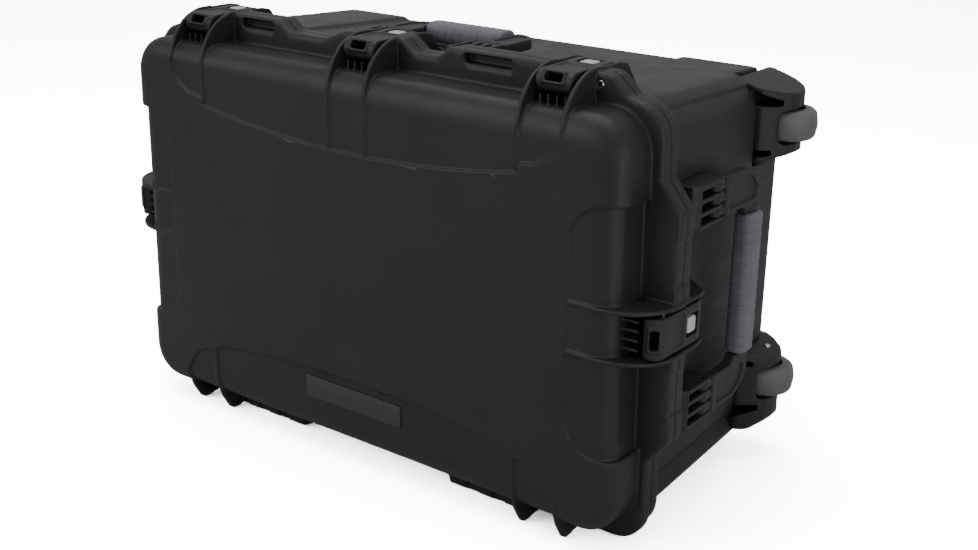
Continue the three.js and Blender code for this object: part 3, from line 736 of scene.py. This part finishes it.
def tub(grow, front, back):
    middle, tall = (BODY_TOP + BODY_BOTTOM) / 2, (BODY_TOP - BODY_BOTTOM) / 2

    def distance(x, y, z):
        a = np.abs(x) - (BODY_X - lean(y) + grow)
        b = np.abs(z - middle) - (tall - lean(y) + grow)
        return corner_distance(corner_distance(a, b, BODY_CORNER + grow), y - back, 22 + grow)

    low = (-BODY_X - grow, front, BODY_BOTTOM - grow)
    return Shape(low, (BODY_X + grow, back, BODY_TOP + grow), distance)


def leaning(shape):
    """A shape that follows the draft of the base's walls."""

    def distance(x, y, z):
        return shape.distance(x + np.sign(x) * lean(y), y, z + np.sign(z) * lean(y))

    return Shape(shape.low, shape.high, distance)


def latch_flank(low, high):
    outline = [(-57, 226), (-81, 259, 3), (-94, 262, 3), (BASE_FRONT, 262), (BASE_FRONT, 226)]
    return prism(outline, "x", low, high, 1.2)


def housing_notch(sign, grow):
    """The corner that takes a wheel housing, with a small gap all round."""
    low, high = box_mm("wheel_housing_upper")
    gap = 0.4 + grow
    z0, z1 = sorted((sign * (low[2] - gap), sign * (high[2] + gap)))
    return block(low[0] - gap, 440, low[1] - 3 - gap, 260, z0, z1, 2)


def tube_recess(grow):
    return block(-440, 92 + grow, 166 - grow, 260, -118 - grow, 118 + grow, 1)


def base_mesh():
    low, high = (RIM_LOW[0], *BASE_LOW[1:]), (RIM_HIGH[0], BASE_BACK, RIM_HIGH[2])
    clay = Clay(low, high, STEP_SHELL)
    clay.join(tub(0, BASE_FRONT, BASE_BACK))
    pad = [(225, 214), (340, 214), (356, 220, 6), (340, 231, 16), (326, 232.5, 20), (232, 232.5, 9)]
    skid = [(128, -214), (134, -241, 5), (352, -241, 6)]
    skid += [(362, -236, 6), (366, -226, 6), (352, -205)]
    clay.join(on_sides([leaning(prism(pad, "y", -108, 168, 4, 2))]), 3)
    clay.join(on_sides([leaning(prism(skid, "y", -108, 168, 4, 2))]), 3)
    clay.join(prism(rim_outline(LID_LOW[2] + 11), "y", BASE_FRONT - 6, RIM_BACK, 3, 1), 2.5)
    for side, along in LATCHES.values():
        for low in (-FIN_OUT, NOTCH):
            clay.join(placed(latch_flank(low, low + 5), side, along), 1.5)
        notch = block(-NOTCH, NOTCH, -140, -90, 243, 300, 1)
        clay.carve(placed(notch, side, along), 0.6)
    clay.carve(hinge_clearance(), 1.2)
    rib = [
        (-108, -225), (-108, -256, 6), (-98, BASE_LOW[2], 6),
        (160, BASE_LOW[2], 8), (176, -250, 8), (176, -225),
    ]
    clay.join(on_sides([prism(rib, "x", x - 3, x + 3, 1.3) for x in (242, 299)]), 1.6)
    arm = [(HINGE_Y, -264), (-104, -262), (-98, -230), (-115, -230), (HINGE_Y, -247.2)]
    clay.join(hinge_arms(BASE_KNUCKLES, arm), 1)
    clay.carve(eyelet_holes(4.6, -150, -100), 0.4)
    clay.carve(rim_windows(RIM_BACK - 9, RIM_BACK + 6), 1.2)
    for sign in (-1, 1):
        clay.carve(housing_notch(sign, 0), 1)
    clay.carve(tube_recess(0), 1)
    hollow = tub(-WALL, -400, BASE_BACK - WALL)
    keep_out = [housing_notch(1, WALL), housing_notch(-1, WALL), tube_recess(WALL)]

    def inside(x, y, z):
        space = hollow.distance(x, y, z)
        for shape in keep_out:
            space = meet_round(space, -shape.distance(x, y, z), 3)
        return space

    clay.carve(Shape(hollow.low, hollow.high, inside), 1)
    clay.carve([block(-900, 900, BASE_FRONT - 90, BASE_FRONT, -900, 900, 0)], 0.6)
    clay.join(hinge_drums(BASE_KNUCKLES), 1)
    clay.carve(hinge_bores())
    return clay_mesh("base_moulding", clay)


# ---------------------------------------------------------------- latches
def latch_mesh():
    half = 22.5
    profile = [
        (-86, 251, 1), (-84, 254, 2), (-88, 259, 3), (-98, 261.5, 4),
        *arc(BARREL_Y, BARREL_OUT, BARREL_R, 90, 300, 24), (-150, 246, 3), (-110.8, 246, 1),
        (-110.8, 237, 1), (-106, 235.5, 0.8), (-104.5, 237, 0.8), (-104.5, 251, 2),
    ]
    clay = Clay((-half, -176, 234), (half, -83, 263), STEP_FINE)
    clay.join(prism(profile, "x", -half, half, 1.8))
    slot = turned(block(-11, 11, -16, 16, -4.8, 4.8, 3), BARREL_Y, BARREL_OUT, -30)
    rim = turned(block(-14.5, 14.5, -12.9, -8, -7.6, 7.6, 2), BARREL_Y, BARREL_OUT, -30)
    clay.join(rim, 1.2)
    clay.carve(slot, 0.8)
    grip = [rod("x", y, 263.2, 1.9, -16, 16, 1.5) for y in (-90.5, -94.5)]
    clay.carve(grip, 0.4)
    y = centre_and_half("lock_button_top_middle")[0][1]
    clay.carve(block(-12.5, 12.5, y - 11.5, y + 11.5, 250.6, 280, 2.2), 0.7)
    dish = block(-18, 18, -150, -124, 259.2, 280, 3)
    clay.carve(dish, 0.5)
    clay.carve(rod("x", PIN_Y, PIN_OUT, 2.7, -30, 30, 0), 0.4)
    return clay_mesh("latch_lever", clay)


def button_mesh():
    low, high = box_mm("lock_button_top_middle")
    (_, y, _), (half_u, half_y, _) = centre_and_half("lock_button_top_middle")
    rings = []
    for t, inset in [(0, 0), (0.78, 0), (0.88, 0.25), (0.95, 0.9), (0.985, 2), (1, 4)]:
        outline = ring_outline(half_u - inset, half_y - inset, 3.2 - inset * 0.5)
        z = low[2] + (high[2] - low[2]) * t
        rings.append([(u, y + v, z) for u, v in outline])
    return loft_mesh("lock_button", rings)


def pin_mesh(name, half, radius, axis="x", steps=48):
    edge = radius * 0.25
    profile = [(0.01, -half), (radius - edge, -half), (radius, -half + edge)]
    profile += [(radius, half - edge), (radius - edge, half), (0.01, half)]
    return lathe_mesh(name, profile, axis, steps)


def make_latches():
    lever, button = latch_mesh(), button_mesh()
    pin = pin_mesh("latch_pin", PIN_HALF, 2.4)
    for name, (side, along) in LATCHES.items():
        at = place_on(side, along)
        pin_at = at @ shift(0, PIN_Y, PIN_OUT)
        add_piece(f"lever_{name}", lever, "black_plastic", f"lever_{name}", [f"latch_{name}"], at)
        node = f"lock_button_{name}"
        add_piece(f"button_{name}", button, "button_grey", f"button_{name}", [node], at)
        add_piece(f"pivot_pin_{name}", pin, "steel", "lid", [f"latch_pin_{name}"], pin_at)


# ---------------------------------------------------------------- carry handles
COMB_FRONT, COMB_REAR, COMB_TOP = -88, -24, 247.5
FINGER, SLOTS = 5, 3


class Span:
    """Sizes of one kind of handle, taken from its frame and grip."""

    def __init__(self, side, corner):
        self.side, self.corner = side, corner
        if side == "top":
            grip, bracket = box_mm("handle_grip_top"), box_mm("handle_comb_top_b")
            self.out = (grip[0][2] + grip[1][2]) / 2
            self.half = grip[1][0]
            self.inner, self.outer = bracket[0][0], bracket[1][0]
        else:
            grip, bracket = box_mm("handle_grip_right"), box_mm("handle_comb_right_a")
            self.out = (grip[0][0] + grip[1][0]) / 2 - END_SHIFT
            self.half = grip[1][2]
            self.inner, self.outer = bracket[0][2], bracket[1][2]
        self.y = (grip[0][1] + grip[1][1]) / 2
        self.pitch = (self.outer - self.inner - FINGER) / SLOTS

    def slots(self):
        starts = [self.inner + FINGER + i * self.pitch for i in range(SLOTS)]
        return [(start, start + self.pitch - FINGER) for start in starts]


SPANS = {"top": Span("top", 30), "end": Span("right", 42)}


def comb_mesh(span, flank):
    """A hinge bracket: fingers with rounded backs, three slots and a ramp at its outer side."""
    wall = (BODY_TOP if span.side == "top" else BODY_X - END_SHIFT) + 0.4
    outline = [
        (COMB_FRONT, wall - lean(COMB_FRONT)), (COMB_REAR, wall - lean(COMB_REAR)),
        (COMB_REAR, 244, 2), (HANDLE_Y + 6, COMB_TOP, 6), (COMB_FRONT + 8, COMB_TOP, 4),
        (COMB_FRONT, 240, 3),
    ]
    clay = Clay((span.inner, COMB_FRONT, 210), (span.outer, COMB_REAR, 250), STEP_FINE)
    clay.join(prism(outline, "x", span.inner, span.outer, 1.6))
    for start, end in span.slots():
        slot = [(-78, 229, 3), (0, 229), (0, 262), (-78, 262)]
        clay.carve(prism(slot, "x", start, end, 1), 0.9)
    clay.carve(rod("x", HANDLE_Y, HANDLE_OUT, 3.3, span.inner - 9, span.outer - 2.5, 0), 0.5)
    return clay_mesh("handle_comb", clay, (flank, 1, 1))


def handle_mesh(span):
    outer_y, arm = span.y + 17, span.outer - 1.5
    clay = Clay((-span.outer, HANDLE_Y - 9, 228), (span.outer, outer_y, 254), STEP_PART)
    bend = arc(arm - span.corner, outer_y - span.corner, span.corner, 0, 80)
    plate = [
        (span.inner + 2, -22, 2), (arm, -22, 2), *bend, (span.half + 1, outer_y, 2),
        (span.half + 1, outer_y - 34, 2), (span.inner + 2, outer_y - 40, 6),
    ]
    low, high = HANDLE_OUT - 6, HANDLE_OUT + 7
    clay.join(on_sides([prism(plate, "z", low, high, 2.2)]))
    margin = 7
    inner_bend = arc(arm - span.corner, outer_y - span.corner, span.corner - margin, 0, 62)
    left = max(span.inner + 2, span.half + 1) + margin
    recess = [(left, -13, 3), (arm - margin, -13, 3), *inner_bend, (left, outer_y - margin - 6, 4)]
    clay.carve(on_sides([prism(recess, "z", high - 2.2, high + 20, 0.6)]), 1)
    clay.carve(on_sides([prism(recess, "z", low - 20, low + 2.2, 0.6)]), 1)
    for start, end in span.slots():
        ring = rod("x", HANDLE_Y, HANDLE_OUT, 8, start + 0.5, end - 0.5, 1)
        tail = block(start + 0.5, end - 0.5, HANDLE_Y, -10, HANDLE_OUT - 5, HANDLE_OUT + 6, 1)
        clay.join(on_sides([ring, tail]), 1)
    reach = span.half + 8
    clay.join(block(-reach, reach, span.y - 9, span.y + 9, span.out - 6, span.out + 6, 2), 1)
    clay.carve(rod("x", HANDLE_Y, HANDLE_OUT, 3.3, -160, 160, 0), 0.5)
    return clay_mesh("handle_frame", clay)


def grip_mesh(span):
    """A soft sleeve with rounded ends and shallow rings along it."""
    half_y, half_out, corner = 17, 13, 11
    rings = []
    grooves = np.linspace(-span.half + 9, span.half - 9, round(span.half / 6.5))
    count = 420
    end = 4.0
    for u in np.linspace(-span.half, span.half, count):
        inset = 0.55 * sum(np.exp(-(((u - g) / 1.1) ** 2)) for g in grooves)
        edge = max(0.0, end - (span.half - abs(u)))
        inset += end - math.sqrt(max(end * end - edge * edge, 0.0))
        outline = ring_outline(half_y - inset, half_out - inset, corner - inset * 0.6, 8)
        rings.append([(u, span.y + a, span.out + b) for a, b in outline])
    return loft_mesh("grip_sleeve", rings)


def make_handles():
    for kind, span in SPANS.items():
        handle, sleeve = handle_mesh(span), grip_mesh(span)
        pin = pin_mesh("handle_pin", (span.outer - span.inner) / 2 - 2.5, 3)
        combs = {"a": comb_mesh(span, -1), "b": comb_mesh(span, 1)}
        for name in ["top"] if kind == "top" else ["right", "left"]:
            at = place_on(name)
            body = f"handle_unit_{name}"
            for end, flank in (("a", -1), ("b", 1)):
                node = f"handle_comb_{name}_{end}"
                add_piece(f"bracket_{name}_{end}", combs[end], "black_plastic", "base", [node], at)
                pin_at = at @ shift(flank * (span.outer + span.inner) / 2, HANDLE_Y, HANDLE_OUT)
                node = f"handle_pin_{name}_{end}"
                add_piece(f"handle_rod_{name}_{end}", pin, "steel", "base", [node], pin_at)
            add_piece(f"carry_frame_{name}", handle, "black_plastic", body, [f"handle_{name}"], at)
            node = f"handle_grip_{name}"
            add_piece(f"carry_grip_{name}", sleeve, "grip_rubber", body, [node], at)


# ---------------------------------------------------------------- wheels
def housing_mesh(sign):
    """The fork around a wheel, with a pocket beside each arm; sign is 1 for the upper wheel,
    whose roof falls to its tip, and -1 for the lower."""
    low, high = box_mm("wheel_housing_upper")
    (left, front, bottom), (tip, back, top) = low, high
    tip_low, tip_high, slant = bottom + 13, top - 21, left + 8
    roof = [(tip + 1, tip_high, 4), (slant, top - 5, 4), (left - 1, top - 4)]
    if sign < 0:
        roof = [(tip + 1, tip_high + 8, 4), (tip - 18, top, 14), (left - 1, top)]
    clay = Clay(low, high, STEP_PART)
    plan = [
        (left, front, 2), (tip - 28, front + 2, 10), (tip - 12, front + 14, 12),
        (tip - 3, front + 29, 12), (tip, front + 45, 12), (tip - 2, back - 26, 12),
        (tip - 10, back - 12, 10), (tip - 24, back - 3, 10), (tip - 40, back, 8), (left, back, 2),
    ]
    section = [(left - 1, bottom), (slant + 19, bottom, 14), (tip, tip_low, 3), *roof]
    body = prism(plan, "z", bottom, top, 0)
    slopes = prism(section, "y", front - 9, back + 9, 0)

    def both(x, y, z):
        return meet_round(body.distance(x, y, z), slopes.distance(x, y, z), 2.6)

    clay.join(Shape(body.low, body.high, both))
    well_low, well_high = WHEEL_Z - WELL_HALF, WHEEL_Z + WELL_HALF
    clay.carve(rod("z", WHEEL_X, WHEEL_Y, WELL_R, well_low, well_high, 5), 1.2)
    clay.carve(block(WHEEL_X + 8, 440, 80, 240, well_low, well_high, 9), 1.4)
    upper = [(left + 24, 188, 2), (tip - 9, 188, 2), (tip - 9, 195, 2), (left + 24, 207, 2)]
    lower = [(left + 24, 126, 2), (tip - 16, 130, 2), (tip - 16, 136, 2), (left + 24, 136, 2)]
    for pocket in (upper, lower):
        clay.carve(prism(pocket, "y", 60, 152, 1), 1)
    clay.carve(rod("z", WHEEL_X, WHEEL_Y, 4.3, bottom - 5, 197, 0), 0.5)
    return clay_mesh("wheel_housing", clay, (1, 1, sign))


def make_wheels():
    r, _, half = centre_and_half("tyre_upper")[1]
    hub_r, axle_r = 20, 4
    flat = half - 9
    crown_line = [(r - 1.2 * (h / flat) ** 2, h) for h in np.linspace(-flat, flat, 13)]
    tyre = [(hub_r + 0.3, -half), (r - 9, -half)]
    tyre += arc(r - 9.2, -half + 8, 8, -80, -8, 8)
    tyre += crown_line
    tyre += arc(r - 9.2, half - 8, 8, 8, 80, 8)
    tyre += [(r - 9, half), (hub_r + 0.3, half)]
    face = [
        (axle_r + 0.3, half + 1), (8.4, half + 1), (9, half + 0.4), (10, half - 4),
        (18, half - 4), (18.6, half - 5.4), (hub_r, half - 5.6),
    ]
    hub = [(a, -h) for a, h in face] + face[::-1]
    tyre_mesh = lathe_mesh("wheel_tyre", tyre, "z", 128)
    hub_mesh = lathe_mesh("wheel_hub", hub, "z", 96)
    for name, sign in (("upper", 1), ("lower", -1)):
        at = moved_to(WHEEL_X, WHEEL_Y, sign * WHEEL_Z)
        body = f"wheel_unit_{name}"
        add_piece(f"tread_{name}", tyre_mesh, "tyre", body, [f"tyre_{name}"], at)
        add_piece(f"hub_{name}", hub_mesh, "black_plastic", body, [f"wheel_hub_{name}"], at)
        fork = housing_mesh(sign)
        add_piece(f"fork_{name}", fork, "black_plastic", "base", [f"wheel_housing_{name}"])
        (_, _, middle), (_, _, reach) = centre_and_half(f"axle_{name}")
        axle = pin_mesh("wheel_axle", reach, axle_r, "z", 64)
        at = moved_to(WHEEL_X, WHEEL_Y, middle)
        add_piece(f"wheel_axle_{name}", axle, "steel", "base", [f"axle_{name}"], at)


# ---------------------------------------------------------------- pull handle
def blank(node):
    """A CAD node's two corners in mm, and clay that fills its box."""
    low, high = box_mm(node)
    return low, high, Clay(low, high, STEP_PART)


def tube_mesh(node, wall):
    (x0, y0, z0), (x1, y1, z1), clay = blank(node)
    clay.join(block(x0, x1, y0, y1, z0, z1, 2.8))
    if wall:
        clay.carve(block(x0 - 9, x1 + 9, y0 + wall, y1 - wall, z0 + wall, z1 - wall, 1.4), 0.4)
    return clay_mesh("pull_tube", clay)


def make_pull():
    bodies = {"outer": "base", "mid": "pull_stage_mid", "inner": "pull_stage_inner"}
    for end in ("upper", "lower"):
        for stage, body in bodies.items():
            wall = 0 if stage == "inner" else 1.6
            node = f"pull_{stage}_tube_{end}"
            add_piece(f"{stage}_tube_{end}", tube_mesh(node, wall), "aluminium", body, [node])
    (x0, y0, z0), (x1, y1, z1), clay = blank("pull_grip")
    clay.join(block(x0, -357, y0, y1, z0, z1, 7))
    for sign in (-1, 1):
        at = sign * 95
        clay.join(block(-364, x1, 170.5, 181.5, at - 11, at + 11, 1.5), 2)
        ribs = [rod("y", x0 - 1.2, sign * (30 + 9 * i), 2, y0 - 5, y1 + 5, 0) for i in range(8)]
        clay.carve(ribs, 0.8)
    low, high = box_mm("pull_release_button")
    gap = 0.4
    seat = block(x0 - 9, high[0] + 5, low[1] - gap, high[1] + gap, low[2] - gap, high[2] + gap, 1)
    clay.carve(seat, 0.6)
    bar = clay_mesh("pull_bar", clay)
    add_piece("pull_bar", bar, "grip_rubber", "pull_stage_inner", ["pull_grip"])
    clay = Clay(low, high, 0.5)
    clay.join(block(low[0], high[0], low[1], high[1], low[2], high[2], 1.6))
    cap = clay_mesh("pull_button", clay)
    add_piece("pull_button_cap", cap, "button_grey", "pull_button", ["pull_release_button"])
    (x0, y0, z0), (x1, y1, z1), clay = blank("pull_tube_cover")
    clay.join(prism([(x0, z0), (x1, z0), (x1, z1), (x0, z1)], "y", y0, y1, 1, 5))
    for z in range(-75, 76, 30):
        clay.carve(block(x0 + 14, x1 - 14, y1 - 0.9, y1 + 9, z - 2, z + 2, 0.8), 0.8)
    cover = clay_mesh("pull_cover", clay)
    add_piece("pull_cover", cover, "black_plastic", "base", ["pull_tube_cover"])


# ---------------------------------------------------------------- small fittings
def gasket_mesh():
    """The seal's section, as (inset, depth), carried round the lid's groove."""
    section = [(0.3, -3.4), (3.9, -3.4), (4.2, -2.6), (4.0, -0.9), (2.1, 0), (0.2, -0.9), (0, -2.6)]
    rings = []
    for inset, y in section:
        half_x, low, high = 367 + inset, -240 - inset, 233 + inset
        outline = ring_outline(half_x, (high - low) / 2, 46 + inset, 12)
        rings.append([(a, LID_BACK + y, b + (high + low) / 2) for a, b in outline])
    return loft_mesh("seal_ring", rings, closed=True)


def plate_mesh():
    """A thin blank plate with rounded corners and softened edges."""
    corner, edge = 3, 0.5
    middle, half = centre_and_half("blank_label")
    front, back = middle[1] - half[1], middle[1] + half[1]
    rings = []
    for inset, y in [(0, back), (0, front + edge), (edge * 0.3, front + edge * 0.3), (edge, front)]:
        outline = ring_outline(half[0] - inset, half[2] - inset, corner, 8)
        rings.append([(middle[0] + a, y, middle[2] + b) for a, b in outline])
    return loft_mesh("blank_plate", rings)


def make_fittings():
    add_piece("seal_ring", gasket_mesh(), "gasket", "lid", ["lid_gasket"])
    add_piece("blank_plate", plate_mesh(), "label", "lid", ["blank_label"])
    (x, y, z), (r, _, half) = centre_and_half("relief_valve")
    deep = 2 * half
    cap = [
        (0.01, 0), (r, 0), (r, deep - 1), (r - 1, deep), (r - 3, deep),
        (r - 3.6, deep - 0.8), (r - 5, deep - 0.8), (r - 5.6, deep), (0.01, deep),
    ]
    valve = lathe_mesh("valve_cap", cap, "z")
    at = moved_to(x, y, z - half)
    add_piece("valve_cap", valve, "black_plastic", "base", ["relief_valve"], at)
    for name in ("left", "right"):
        (x, _, _), (half, r, _) = centre_and_half(f"hinge_pin_{name}")
        at = moved_to(x, HINGE_Y, HINGE_Z)
        pin = pin_mesh("hinge_pin", half, r)
        add_piece(f"hinge_rod_{name}", pin, "steel", "base", [f"hinge_pin_{name}"], at)
        (x, y, z), (r, deep, _) = centre_and_half(f"eyelet_{name}")
        half = 8
        outline = [(2.9, -half), (r - 0.4, -half), (r, -half + 0.4), (r, half), (2.9, half)]
        ring = lathe_mesh("padlock_ring", outline, "y", 64)
        at = moved_to(x, y + deep - half, z)
        add_piece(f"padlock_ring_{name}", ring, "steel", "lid", [f"eyelet_{name}"], at)


# ---------------------------------------------------------------- studio
def make_studio():
    bpy.ops.mesh.primitive_plane_add(size=40)
    floor = bpy.context.object
    floor.name = "studio_floor"
    look = bpy.data.materials.new("studio_floor")
    look.use_nodes = True
    nodes, links = look.node_tree.nodes, look.node_tree.links
    nodes.clear()
    output = nodes.new("ShaderNodeOutputMaterial")
    seen, lighting = nodes.new("ShaderNodeBsdfDiffuse"), nodes.new("ShaderNodeBsdfDiffuse")
    seen.inputs["Color"].default_value = (16, 16, 16, 1)
    lighting.inputs["Color"].default_value = (0.5, 0.5, 0.5, 1)
    choose, path = nodes.new("ShaderNodeMixShader"), nodes.new("ShaderNodeLightPath")
    links.new(path.outputs["Is Camera Ray"], choose.inputs["Fac"])
    links.new(lighting.outputs["BSDF"], choose.inputs[1])
    links.new(seen.outputs["BSDF"], choose.inputs[2])
    links.new(choose.outputs["Shader"], output.inputs["Surface"])
    floor.data.materials.append(look)

    world = bpy.data.worlds.new("studio")
    bpy.context.scene.world = world
    world.use_nodes = True
    nodes, links = world.node_tree.nodes, world.node_tree.links
    sky = nodes["Background"]
    sky.inputs["Strength"].default_value = 1.0
    path, mix = nodes.new("ShaderNodeLightPath"), nodes.new("ShaderNodeMix")
    mix.data_type = "RGBA"
    mix.inputs["A"].default_value = (0.5, 0.5, 0.52, 1)
    mix.inputs["B"].default_value = (12, 12, 12, 1)
    links.new(path.outputs["Is Camera Ray"], mix.inputs["Factor"])
    links.new(mix.outputs["Result"], sky.inputs["Color"])

    def softbox(name, place, target, size, power):
        lamp = bpy.data.lights.new(name, "AREA")
        lamp.shape = "RECTANGLE"
        lamp.size, lamp.size_y = size
        lamp.energy = power
        holder = bpy.data.objects.new(name, lamp)
        bpy.context.scene.collection.objects.link(holder)
        holder.location = place
        aim = Vector(target) - Vector(place)
        holder.rotation_euler = aim.to_track_quat("-Z", "Y").to_euler()
        holder.visible_camera = False

    softbox("overhead", (-0.2, -0.1, 2.6), (0, 0, 0.2), (2.8, 2.2), 46)
    softbox("right_side", (2.3, 0.1, 0.75), (0.1, 0, 0.3), (0.5, 1.5), 7)
    softbox("low_right", (1.4, -0.8, 0.36), (0.38, -0.15, 0.25), (0.3, 0.7), 4)
    softbox("front_fill", (-1.6, -2.6, 1.6), (0, 0, 0.25), (2.0, 1.6), 34)


def make_camera():
    """Three-quarter view from the wheel end, slightly above the case."""
    yaw, pitch, roll = -0.6489, 0.3462, 0.0136
    flat = math.cos(pitch)
    ahead = Vector((math.sin(yaw) * flat, math.cos(yaw) * flat, -math.sin(pitch)))
    level = Vector((math.cos(yaw), -math.sin(yaw), 0))
    upright = level.cross(ahead)
    right = level * math.cos(roll) + upright * math.sin(roll)
    up = upright * math.cos(roll) - level * math.sin(roll)
    lens = bpy.data.cameras.new("camera")
    lens.lens = 50.57
    lens.sensor_width = 36
    camera = bpy.data.objects.new("camera", lens)
    bpy.context.scene.collection.objects.link(camera)
    turn = Matrix((right, up, -ahead)).transposed().to_4x4()
    camera.matrix_world = Matrix.Translation((1.048, -1.3085, 0.8021)) @ turn
    bpy.context.scene.camera = camera


# ---------------------------------------------------------------- the whole case
make_camera()
make_studio()
add_piece("lid_moulding", lid_mesh(), "black_plastic", "lid", ["lid_shell"])
add_piece("base_moulding", base_mesh(), "black_plastic", "base", ["base_shell", "base_rim"])
make_latches()
make_handles()
make_wheels()
make_pull()
make_fittings()

bpy.context.view_layer.update()
